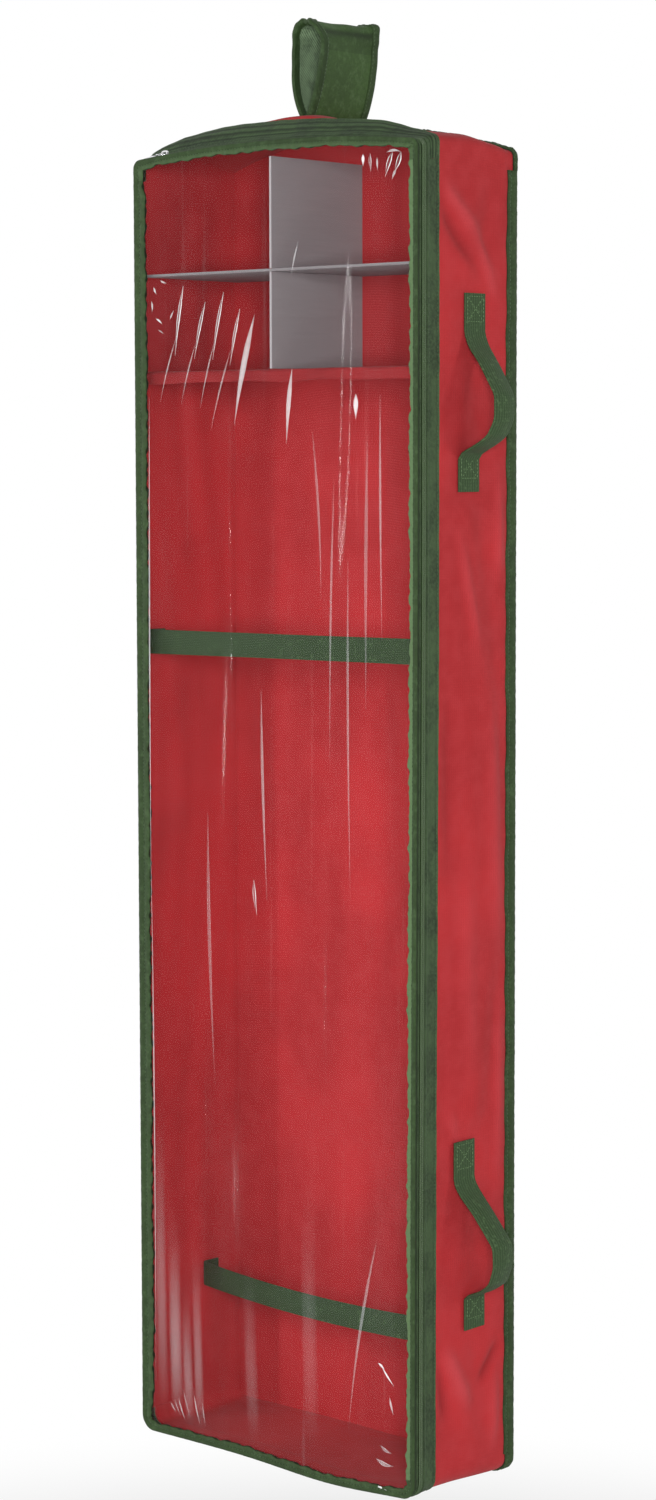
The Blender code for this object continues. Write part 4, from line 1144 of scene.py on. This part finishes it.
def make_back_binding(sizes, green, sewing):
    """Binding wrapped over the back edge, onto the sides and onto the back."""
    rows = []
    # Painted shade along the binding's edges where it meets the panels, and lighter painted shade
    # along its seam
    painted_shades = {1.0: 1.0, BACK_SEAM: 0.45}
    painted_shading = [painted_shades.get(share, 0.0) for share, _, _ in FLANK_FOLD + BACK_FOLD] + [0.0] * 3
    for number, part in enumerate(("left", "top", "right", "bottom")):
        run, along = edge_run(part, DOME_RISE, BINDING_STEP, dip_at(DEPTH))
        puff = sizes.pucker * ripple(along, (0.0082, 0.0131, 0.0057), 30 + number)
        sway = 0.0010 * ripple(along, (0.21, 0.083, 0.034), 50 + number)
        width = BACK_BINDING + 0.0006 + sway
        flank = width + (0.0016 if part == "right" else 0.0)
        if part == "top":
            flank = width * (1 - 0.60 * ease(run[:, 0], 0.128, 0.143))
        rings = [(off * MM - puff * lift, DEPTH - flank * share)
                 for share, off, lift in FLANK_FOLD]
        rings += [(width * share + 0.0004, DEPTH - off * MM + puff * lift * 0.5)
                  for share, off, lift in BACK_FOLD]
        rings += [(width * 0.5, DEPTH - BINDING_HOLLOW), (BINDING_HOLLOW, DEPTH - BINDING_HOLLOW),
                  (BINDING_HOLLOW, DEPTH - flank * 0.5)]
        solid = np.stack([at_edge(run, inset, depth) for inset, depth in rings], axis=1)
        name = "back_edge_binding" if part == "right" else f"back_edge_binding_{part}"
        binding = sweep(name, bulge(solid), "bag", green, painted_shading)
        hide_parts(f"back_binding_{part}")
        rows.append(seam_row(run, 0.0003 - puff * 0.1, DEPTH - flank * BACK_SEAM))
        rows.append(seam_row(run, width * BACK_SEAM + 0.0004, DEPTH - 0.0005, (0, 1, 0)))
    stitches("back_binding_stitches", rows, "bag", sewing, sizes)


def make_hinge_binding(sizes, green, sewing):
    """Flat binding behind the cover's hinge."""
    run, along = edge_run("left", COVER_RISE, BINDING_STEP)
    puff = sizes.pucker * ripple(along, (0.0079, 0.0142), 44)
    first, last = COVER_PLY + 0.0004, COVER_PLY + 0.0004 + HINGE_BINDING
    outline = ((0.0013, first, 0), (0.0003, first + 0.0004, 0.3), (0.0, first + 0.002, 0.6),
               (0.0, first + 0.006, 0.8), (0.0005, last - 0.0032, 0.1),
               (0.0001, last - 0.0016, 0.8), (0.0003, last - 0.0004, 0.4), (0.0013, last, 0))
    rings = [at_edge(run, inset - puff * lift, depth) for inset, depth, lift in outline]
    binding = sweep("hinge_edge_binding", bulge(np.stack(rings, axis=1)), "bag", green)
    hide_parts("hinge_binding")
    stitches("hinge_binding_stitches", [seam_row(run, 0.0003, last - 0.0032)], "bag", sewing,
             sizes)


class ORGANIZER_OT_bindings(bpy.types.Operator):
    """Make the folded bindings round the back edge and up the hinge side"""

    bl_idname = "organizer.bindings"
    bl_label = "Edge bindings"

    def execute(self, context):
        sizes, colours = look(context)
        green = bias_cloth("green_bias_cloth", colours.green, colours.green_light)
        sewing = thread("green_thread", colours.thread)
        make_back_binding(sizes, green, sewing)
        make_hinge_binding(sizes, green, sewing)
        return {"FINISHED"}


def make_tape(part, which, section, body, tape):
    """One length of tape, stepped down under the coil, with a raised selvedge."""
    columns = []
    if part == "top" and which == "body":
        section = tuple(sorted(section + TOP_LINES))
    for depth, inset, _ in section:
        depth, inset = depth * MM, inset * MM
        run, along = edge_run(part, rise_at(depth), TAPE_STEP)
        free = 0.00018 * ease(depth, 0.0118, 0.0140)
        wave = free * crumple(along, np.full_like(along, depth), (0.031, 0.019, 0.05), 17)
        columns.append(at_edge(run, inset - wave, depth))
    grid = bulge(np.swapaxes(np.array(columns), 0, 1))
    # The table's third column is painted shading: painted shade in grooves, painted highlight on
    # ridges
    piece = cloth(f"{which}_tape_{part}", grid, TAPE_PLY, body, tape,
                  [painted_shading for _, _, painted_shading in section])
    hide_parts(f"{which}_zip_tape_{part}")


def make_coil(which, depth, body, sizes, coil):
    """One half of the coil, with a tooth at every pitch."""
    step = sizes.coil_pitch / 4
    run, along = chained_run(("top", "right", "bottom"), COVER_RISE, step)
    swell = 1 + COIL_TOOTH * np.cos(2 * math.pi * along / sizes.coil_pitch)
    rings = []
    for turn in np.linspace(0, 2 * math.pi, 7)[:-1]:
        inset = COIL_RADIUS - 0.0001 - COIL_RADIUS * 0.9 * swell * math.cos(turn)
        rings.append(at_edge(run, inset, depth + COIL_RADIUS * swell * math.sin(turn)))
    solid = bulge(np.stack(rings, axis=1))
    piece = sweep(f"{which}_coil", solid, body, coil)
    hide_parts(f"{which}_zip_coil")


class ORGANIZER_OT_zip(bpy.types.Operator):
    """Make the zip's tapes and coils"""

    bl_idname = "organizer.zip"
    bl_label = "Zip"

    def execute(self, context):
        sizes, colours = look(context)
        tape = twill("green_twill_tape", colours.tape, colours.green_light)
        coil = nylon("green_nylon_coil", toned(colours.green, 1.3))
        sewing = thread("green_zip_thread", colours.thread)
        rows = []
        for part in ("top", "right", "bottom"):
            make_tape(part, "body", BODY_TAPE, "bag", tape)
            make_tape(part, "cover", COVER_TAPE, "cover", tape)
            for depth in (TAPE_START + 0.0030, TAPE_END - 0.0018):
                run, _ = edge_run(part, rise_at(depth), TAPE_STEP)
                rows.append(seam_row(run, 0.0006, depth))
        stitches("zip_tape_stitches", rows, "bag", sewing, sizes)
        make_coil("body", BODY_COIL, "bag", sizes, coil)
        make_coil("cover", COVER_COIL, "cover", sizes, coil)
        return {"FINISHED"}


def make_cover_binding(part, number, sizes, green):
    """Binding folded over one edge of the film, puckered inside its seam."""
    run, along = edge_run(part, COVER_RISE, BINDING_STEP)
    puff = sizes.pucker * ripple(along, (0.0062, 0.0105, 0.0173), 70 + number)
    sway = 0.0008 * ripple(along, (0.19, 0.061, 0.0215, 0.0125), 80 + number)
    if part == "left":
        end = np.minimum(along, along[-1] - along)
        width = CORNER_BINDING + (LEFT_BINDING - CORNER_BINDING) * ease(end, 0, 0.020)
    elif part == "right":
        width = ZIP_BINDING
    else:
        corner = ease(-run[:, 0], HALF - 0.030, HALF)
        width = ZIP_BINDING + (CORNER_BINDING - ZIP_BINDING) * corner
    # Painted shading: painted shade in the gap by the film, along the seam and in the fold by the
    # zip, and painted highlight on the inner half, strongest on the right and then the top
    wear_and_highlight = {"top": -0.35, "right": -1.0}.get(part, -0.10)
    rings, painted_shading = [], []
    for inset, height in cover_profile():
        painted_shading.append(0.8 if inset == 1.0 else 0.6 if 0.5 < inset < 0.55 else
                    wear_and_highlight if inset > 0.55 else 0.8 if inset == 0.0 else 0.0)
        inner = ease(inset, 0.45, 0.9)
        across = inset * (width + sway * inner)
        lift = height + np.sign(height) * puff * (0.15 + 0.85 * inner) * (inset > 0.02)
        rings.append(at_edge(run, across, COVER_PLY / 2 - lift))
    binding = sweep(f"cover_edge_{part}", bulge(np.stack(rings, axis=1)), "cover", green,
                    painted_shading)
    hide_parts(f"cover_binding_{part}")
    return seam_row(run, COVER_SEAM * width, COVER_PLY / 2 - 0.00090, (0, -1, 0))


def make_film(sizes, film):
    """The clear film, drawn tight with soft waves."""
    limit = HALF - FILM_EDGE
    x = np.linspace(-limit, limit, 130)
    top, foot = top_and_foot(x, COVER_RISE, 0, FILM_EDGE)
    share = np.linspace(0, 1, 420)[:, None]
    z = foot + (top - foot) * share
    x = np.broadcast_to(x, z.shape)
    held = ease(HALF - np.abs(x), 0.010, 0.045) * ease(z - FOOT, 0.006, 0.05)
    held = held * ease(TOP - z, -0.004, 0.04)
    wave = ripple(x + 0.010 * np.sin(z * 7.0), (0.058, 0.091, 0.037), 91)
    wave += 0.7 * crumple(x, z * 0.35, (0.045, 0.028, 0.07), 92, 0.5)
    y = FRONT + COVER_PLY / 2 - sizes.film_wave * held * wave
    grid = bulge(joined(x, y, z))
    piece = cloth("clear_film", grid, FILM_PLY, "cover", film)
    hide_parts("cover_window")


def make_painted_glints(gloss):
    """Painted glints and painted sheen where the film folds: slim white spears, curved and raised
    off it.
    """
    points, faces, flat, fills, rims, softs = [], [], [], [], [], []
    rows, columns = 25, (-1, -0.5, 0, 0.5, 1)
    for *lengths, fill, rim in PAINTED_GLINTS:
        first_x, first_drop, last_x, last_drop, half, bend = np.array(lengths) * MM
        start = np.array([first_x, TOP - first_drop])
        along = np.array([last_x, TOP - last_drop]) - start
        side = np.array([along[1], -along[0]]) / np.linalg.norm(along)
        first = len(points)
        for share in np.linspace(0, 1, rows):
            middle = start + along * share + side * bend * 4 * share * (1 - share)
            wide = half * min(1.0, (share / 0.3) ** 0.8) * min(1.0, (1 - share) / 0.5)
            wide = max(wide, half * 0.04)
            fade = math.sin(math.pi * (0.12 + share * 0.80)) ** 0.5
            if half >= SOFT_GLINT:
                wide, fade = half, math.sin(math.pi * share ** 1.6) ** 1.5
            for across in columns:
                x, z = middle + side * wide * across
                lift = 0.0011 + 0.0003 * (1 - across ** 2)
                points.append((x, FRONT + COVER_PLY / 2 - lift, z))
                flat.append((share, across))
                fills.append(fill * fade)
                rims.append(rim)
                softs.append(1.0 if half >= SOFT_GLINT else 0.0)
        faces.extend(tuple(first + corner for corner in face)
                     for face in strip_faces(rows, len(columns), False))
    piece = mesh_piece("film_painted_glints", bulge(np.array(points)), faces, "cover", gloss,
                       np.array(flat))
    for key, values in (("fill", fills), ("rim", rims), ("soft", softs)):
        keep_layer(piece.data, key, values)


class ORGANIZER_OT_cover(bpy.types.Operator):
    """Make the clear film and the binding folded round it"""

    bl_idname = "organizer.cover"
    bl_label = "Clear cover"

    def execute(self, context):
        sizes, colours = look(context)
        green = bias_cloth("green_cover_binding", colours.green, colours.green_light)
        sewing = thread("green_cover_thread", colours.thread)
        film = clear_film("clear_vinyl_film", colours.film)
        rows = []
        for number, part in enumerate(("left", "top", "right", "bottom")):
            rows.append(make_cover_binding(part, number, sizes, green))
        stitches("cover_binding_stitches", rows, "cover", sewing, sizes)
        make_film(sizes, film)
        # Painted glints and painted sheen on the film's folds
        make_painted_glints(painted_film_glints("vinyl_painted_glints", colours.film))
        return {"FINISHED"}


def make_band(name, span, offsets, material, node):
    """A band of the loop between two places across it."""
    across = np.linspace(*span, 26)
    outer = [loop_row(where, offsets[1]) for where in across]
    inner = [loop_row(where, offsets[0]) for where in reversed(across)]
    level = loop_rail()[0][:, 0]
    # Painted shade along two creases near the top of the loop
    painted_crease_shade = 0.75 * hump(level, 0.0116, 0.0011) + 0.55 * hump(level, 0.0035, 0.0012)
    painted_shading = (painted_crease_shade * (outer[0][:, 2] > -0.020))[:, None]
    piece = sweep(name, np.stack(outer + inner, axis=1), "hanging_loop", material, painted_shading)
    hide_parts(node)


def loop_row(across, off):
    """Points round the loop at a place across it and a distance off its seat."""
    run, where = loop_rail()
    level, high = run[:, 0], run[:, 1]
    turn_in = ease(high, -0.060, 0.002)
    crest = hump(high, 0.001, 0.009)
    middle = hump(level, 0, 0.006) * crest
    fold = hump(level, 0.0088, 0.0026) * crest
    crease = hump(level, 0.0118, 0.0012) * crest
    gathers = ripple(where, (0.0073, 0.0104), 7) * crest * LOOP_GATHERS
    wavy = 1 + 0.35 * math.sin(across * 230 + 0.8)
    off = off + gathers + LOOP_SWAY * ripple(where, (0.021, 0.035), 9) * turn_in
    off = off + LOOP_FOLD * fold * wavy - LOOP_CREASE * crease
    tip = (abs(across) / LOOP_HALF) ** 5 * crest * LOOP_TIP
    lateral = across * (1 - 0.05 * turn_in - 0.06 * middle + 0.09 * fold)
    x = level + run[:, 2] * off + LOOP_LEAN * turn_in
    z = high + run[:, 3] * off + tip
    twist = LOOP_TWIST * ease(high, -0.016, 0.002)
    return joined(x * np.cos(twist) + lateral * np.sin(twist),
                  lateral * np.cos(twist) - x * np.sin(twist), z)


def loop_rail():
    """The loop's inner face: up one leg, round the crest and down the other."""
    foot = Vector((0.00015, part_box("loop_lining")[0].z))
    side = Vector((CREST_RADIUS, -CREST_RADIUS))
    start = foot + Vector((0, 0.0025))
    guides = (start, start + Vector((0.0095, 0.0145)), side - Vector((0, 0.022)), side)
    share = np.linspace(0, 1, 40)[:, None]
    leg = sum(count * (1 - share) ** (3 - order) * share ** order * np.array(guide)
              for order, (count, guide) in enumerate(zip((1, 3, 3, 1), guides)))
    leg = np.concatenate([[np.array(foot)], leg[:-1]])
    turn = np.linspace(0, math.pi / 2, 60)
    arc = joined(np.cos(turn), np.sin(turn) - 1) * CREST_RADIUS
    right = np.concatenate([leg, arc])
    path = resample(np.concatenate([right, right[-2::-1] * np.array([-1, 1])]), 220)
    ahead = heading(path)
    return joined(*path.T, ahead[:, 1], -ahead[:, 0]), distances(path)


class ORGANIZER_OT_hanging_loop(bpy.types.Operator):
    """Make the lined loop that the bag hangs from"""

    bl_idname = "organizer.hanging_loop"
    bl_label = "Hanging loop"

    def execute(self, context):
        sizes, colours = look(context)
        strap = bias_cloth("green_loop_cloth", toned(colours.green, 1.75),
                           toned(colours.green_light, 1.35))
        lining = twill("green_loop_lining", colours.lining, toned(colours.lining, 1.5), 0.0026)
        edge = bias_cloth("green_loop_binding", colours.green, colours.green_light)
        sewing = thread("green_loop_thread", colours.thread)
        inner = LOOP_HALF - LOOP_BINDING
        make_band("loop_outer", (-inner - 0.003, inner + 0.003), (0.0011, 0.0026), strap,
                  "loop_strap")
        make_band("loop_inner", (-inner - 0.002, inner + 0.002), (0.0, 0.0009), lining,
                  "loop_lining")
        rows = []
        for name, side in (("front", -1), ("back", 1)):
            rings = [loop_row(side * (inner + share * LOOP_BINDING), off * MM)
                     for share, off in LOOP_EDGE]
            piece = sweep(f"loop_edge_{name}", np.stack(rings, axis=1), "hanging_loop", edge)
            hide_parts(f"loop_binding_{name}")
            for off, facing in ((0.0037, 1), (-0.0001, -1)):
                path = loop_row(side * (inner + 0.0012), off)
                out = (loop_row(side * inner, 0.003) - loop_row(side * inner, 0.0)) * facing
                rows.append((path, out))
        stitches("loop_stitches", rows, "hanging_loop", sewing, sizes)
        return {"FINISHED"}


def make_handle(which, sizes, webbing, sewing):
    """One handle in two halves of webbing, each sewn to the bag at one end."""
    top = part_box(f"{which}_handle_top_patch")
    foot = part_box(f"{which}_handle_bottom_patch")
    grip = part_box(f"{which}_handle_loop")
    surface = top[0].x + WEBBING_PLY / 2 + PATCH_LIFT
    reach = grip[1].x - WEBBING_PLY / 2 - surface
    start, end = top[1].z - GRIP_START, foot[0].z + GRIP_END
    shape = np.array(HANDLE_SHAPES[which])
    spots = np.linspace(0, 1, 90)
    curve = joined(surface + reach * softened(spots, shape), start - (start - end) * spots)
    path = np.concatenate([[[surface, top[1].z], [surface, start + 0.002]], curve[2:-2],
                           [[surface, end - 0.002], [surface, foot[0].z]]])
    path = resample(path, HANDLE_ROWS)
    middle_y = (top[0].y + top[1].y) / 2
    lean = np.interp(np.linspace(0, 1, HANDLE_ROWS), (0.2, 0.8), HANDLE_LEANS[which])
    ahead = heading(path)
    out = joined(-ahead[:, 1], ahead[:, 0])
    half, ply = WEBBING_WIDTH / 2, WEBBING_PLY / 2
    edge = half - WEBBING_EDGE
    outline = [(-half, 0), (-edge, ply * 0.85)]
    outline += [(where, ply * (1 + 0.04 * math.cos(where * WEBBING_RIBS)))
                for where in np.linspace(-half + 0.001, half - 0.001, 19)]
    outline += [(edge, ply * 0.85), (half, 0), (edge, -ply * 0.85), (0, -ply),
                (-edge, -ply * 0.85)]
    curl = ease(path[:, 0], surface + 0.004, surface + 0.016)
    rings = []
    for across, off in outline:
        cup = 0.0012 * curl * (1 - (across / half) ** 2)
        flat = across * (1 - 0.05 * curl)
        rings.append(joined(path[:, 0] + out[:, 0] * (off + cup), middle_y + lean + flat,
                            path[:, 1] + out[:, 1] * (off + cup)))
    solid = np.stack(rings, axis=1)
    cut = HANDLE_ROWS // 2
    for name, rows, line, away in (("top", solid[:cut + 1], grip[1].z, -1),
                                   ("bottom", solid[cut:][::-1], grip[0].z, 1)):
        piece = sweep(f"{which}_webbing_{name}", rows, None, webbing)
        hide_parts(f"{which}_handle_{name}_patch", f"{which}_handle_loop")
        low = Vector((surface, middle_y, line - away * TURN_FROM))
        high = Vector((surface, middle_y, line + away * TURN_TO))
        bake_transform(piece)
    rows = []
    for (low, high), lean_y in zip((top, foot), HANDLE_LEANS[which]):
        rows.extend(box_and_cross(surface + ply, middle_y + lean_y, low.z, high.z))
    stitches(f"{which}_handle_stitches", rows, "bag", sewing, sizes)


def softened(spots, shape):
    """A smooth curve through the handle's shape."""
    across = np.interp(spots, shape[:, 0], shape[:, 1])
    for _ in range(10):
        across[1:-1] = (across[:-2] + 2 * across[1:-1] + across[2:]) / 4
    return across


def box_and_cross(x, y, low, high):
    """A box of stitches with a cross in it, over the flat end of the webbing."""
    half, height, margin = WEBBING_WIDTH / 2 - 0.003, 0.019, 0.0025
    top = high - margin
    foot = max(top - height, low + margin)
    corners = [(y - half, top), (y + half, top), (y + half, foot), (y - half, foot)]
    lines = list(zip(corners, corners[1:] + corners[:1]))
    lines += [(corners[0], corners[2]), (corners[1], corners[3])]
    spots = np.linspace(0, 1, 12)
    return [(joined(x, first_y * (1 - spots) + last_y * spots,
                    first_z * (1 - spots) + last_z * spots), (1, 0, 0))
            for (first_y, first_z), (last_y, last_z) in lines]


class ORGANIZER_OT_handles(bpy.types.Operator):
    """Make the webbing handles on the right side"""

    bl_idname = "organizer.handles"
    bl_label = "Side handles"

    def execute(self, context):
        sizes, colours = look(context)
        webbing = ribbed("green_webbing_cloth", colours.webbing, colours.green_light, 0.0028,
                         0.0011)
        sewing = thread("green_handle_thread", toned(colours.green_light, 1.9))
        for which in ("upper", "lower"):
            make_handle(which, sizes, webbing, sewing)
        return {"FINISHED"}


def make_sleeve(sizes, red):
    """Red cloth round the lower board, with a hem that hangs at the front."""
    low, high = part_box("lower_shelf_sleeve")
    board_low, board_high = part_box("lower_shelf_board")
    front, back = low.y + SLEEVE_PLY / 2, high.y - SLEEVE_PLY / 2
    over, under = board_high.z + 0.0006, board_low.z - 0.0006
    outline = [(front + SLEEVE_PLY, low.z + 0.0005), (front + SLEEVE_PLY, under)]
    outline += [(back, under), (back + 0.0002, (over + under) / 2), (back, over),
                (front + 0.002, over), (front + 0.0004, over - 0.0005), (front, over - 0.002),
                (front, over - 0.005), (front, low.z + 0.0005)]
    path = resample(np.array(outline), 110)
    x = np.linspace(low.x, high.x, 90)
    rows = []
    for y, z in path:
        hang = ease(-y, -front - 0.002, -front + 0.0002)
        sag = ripple(x, (0.051, 0.083, 0.027), 61)
        wavy_y = y - 0.0007 * hang * sag * (z < over - 0.003)
        wavy_z = z + 0.0008 * hang * ripple(x, (0.067, 0.11), 62) * (z < over - 0.005)
        wavy_z = wavy_z + 0.0003 * (1 - hang) * crumple(x, np.full_like(x, y), (0.06, 0.04), 6)
        rows.append(joined(x, wavy_y, wavy_z))
    piece = cloth("shelf_sleeve", bulge(np.array(rows)), SLEEVE_PLY, "bag", red)
    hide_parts("lower_shelf_sleeve")


class ORGANIZER_OT_shelves(bpy.types.Operator):
    """Finish the boards and make the lower shelf's sleeve"""

    bl_idname = "organizer.shelves"
    bl_label = "Boards and shelf"

    def execute(self, context):
        sizes, colours = look(context)
        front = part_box("divider")[0].y
        # The divider's front edge gets a painted highlight, the shelves' front edges painted
        # shade
        lit_edge_board = chipboard("grey_chipboard", colours.board, front, 1.5)
        level = chipboard("grey_chipboard_level", colours.board, front, 0.7)
        refinish(lit_edge_board, "divider")
        refinish(level, "mid_shelf", "lower_shelf_board")
        # The sleeve is the panels' red cloth darkened, as painted shade on the shelf's hem
        red = non_woven("red_shelf_cloth_painted_shade", toned(colours.red, 0.62))
        make_sleeve(sizes, red)
        return {"FINISHED"}


def make_strap(which, setbacks, curve, drop, sag, elastic):
    """One strap with its two sewn ends, and the rows of its stitches."""
    low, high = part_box(f"{which}_elastic")
    path = strap_path(high, setbacks, curve)
    where = distances(path)
    share = where / where[-1]
    arch = np.sin(math.pi * share)
    middle = (low.z + high.z) / 2 + drop[0] + (drop[1] - drop[0]) * share - sag * arch
    half = (high.z - low.z) / 2
    ahead = heading(path)
    grid = []
    for side in np.linspace(-1, 1, 14):
        bowed = ELASTIC_CUP * arch * (1 - side ** 2)
        grid.append(joined(path[:, 0] + ahead[:, 1] * bowed, path[:, 1] - ahead[:, 0] * bowed,
                           middle + side * half * (1 - 0.04 * arch)))
    grid = bulge(np.swapaxes(np.array(grid), 0, 1))
    piece = cloth(f"{which}_strap", grid, ELASTIC_PLY, "bag", elastic)
    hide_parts(f"{which}_elastic")
    heights = np.linspace(-0.8, 0.8, 12) * half
    return [(bulge(joined(path[end][0] + side * 0.0007, path[end][1], middle[end] + heights)),
             (side, 0, 0)) for end, side in ((6, 1), (-7, -1))]


def strap_path(high, setbacks, curve):
    """The strap in plan: a tab on each wall and a curved crossing between them."""
    wall = high.x - ELASTIC_PLY / 2
    left, right = FRONT + setbacks[0], FRONT + setbacks[1]
    tab, bend = 0.016, 0.0025
    turn = np.array([0, math.pi / 6, math.pi / 3])
    corner = joined(bend * (1 - np.cos(turn)) - wall, bend * (1 - np.sin(turn)))
    end = np.concatenate([[[-wall, bend + tab]], corner])
    share = np.linspace(0, 1, 41)
    span = joined(bend - wall + 2 * (wall - bend) * share,
                  left + (right - left) * share - curve * 4 * share * (1 - share))
    points = np.concatenate([end + (0, left), span, end[::-1] * (-1, 1) + (0, right)])
    return resample(points, 160)


class ORGANIZER_OT_elastics(bpy.types.Operator):
    """Make the two elastic straps across the tall bay"""

    bl_idname = "organizer.elastics"
    bl_label = "Elastic straps"

    def execute(self, context):
        sizes, colours = look(context)
        elastic = ribbed("green_elastic_cloth", toned(colours.webbing, 0.7),
                         toned(colours.green_light, 0.7), 0.0013, 0.0024, 0.0003)
        sewing = thread("green_elastic_thread", colours.thread)
        rows = [row for run in ELASTIC_RUNS for row in make_strap(*run, elastic)]
        stitches("elastic_stitches", rows, "bag", sewing, sizes)
        return {"FINISHED"}


class ORGANIZER_OT_hardware(bpy.types.Operator):
    """Finish the zip's slider and pull"""

    bl_idname = "organizer.hardware"
    bl_label = "Slider and pull"

    def execute(self, context):
        colours = look(context)[1]
        metal = nickel("bright_nickel", colours.metal)
        refinish(metal, "zip_slider", "pull_link", "pull_tab")
        return {"FINISHED"}


STEPS = (ORGANIZER_OT_stage, ORGANIZER_OT_panels, ORGANIZER_OT_bindings, ORGANIZER_OT_zip,
         ORGANIZER_OT_cover, ORGANIZER_OT_hanging_loop, ORGANIZER_OT_handles,
         ORGANIZER_OT_shelves, ORGANIZER_OT_elastics, ORGANIZER_OT_hardware)


class ORGANIZER_PT_sidebar(bpy.types.Panel):
    """The organizer's pieces in the sidebar"""

    bl_idname = "ORGANIZER_PT_sidebar"
    bl_label = "Gift wrap organizer"
    bl_space_type = "VIEW_3D"
    bl_region_type = "UI"
    bl_category = "Organizer"

    def draw(self, context):
        for group in look(context):
            box = self.layout.box()
            for key in group.bl_rna.properties.keys():
                if key not in ("rna_type", "name"):
                    box.prop(group, key)
        for step in STEPS:
            self.layout.operator(step.bl_idname)


CLASSES = (OrganizerSizes, OrganizerColours, *STEPS, ORGANIZER_PT_sidebar)


def register():
    """Register the classes and their settings."""
    for item in CLASSES:
        bpy.utils.register_class(item)
    bpy.types.Scene.organizer_sizes = PointerProperty(type=OrganizerSizes)
    bpy.types.Scene.organizer_colours = PointerProperty(type=OrganizerColours)


def unregister():
    """Take the classes and their settings away."""
    del bpy.types.Scene.organizer_colours
    del bpy.types.Scene.organizer_sizes
    for item in reversed(CLASSES):
        bpy.utils.unregister_class(item)


def main():
    """Make every piece in order."""
    register()
    for step in STEPS:
        group, name = step.bl_idname.split(".")
        getattr(getattr(bpy.ops, group), name)()


if __name__ == "__main__":
    main()
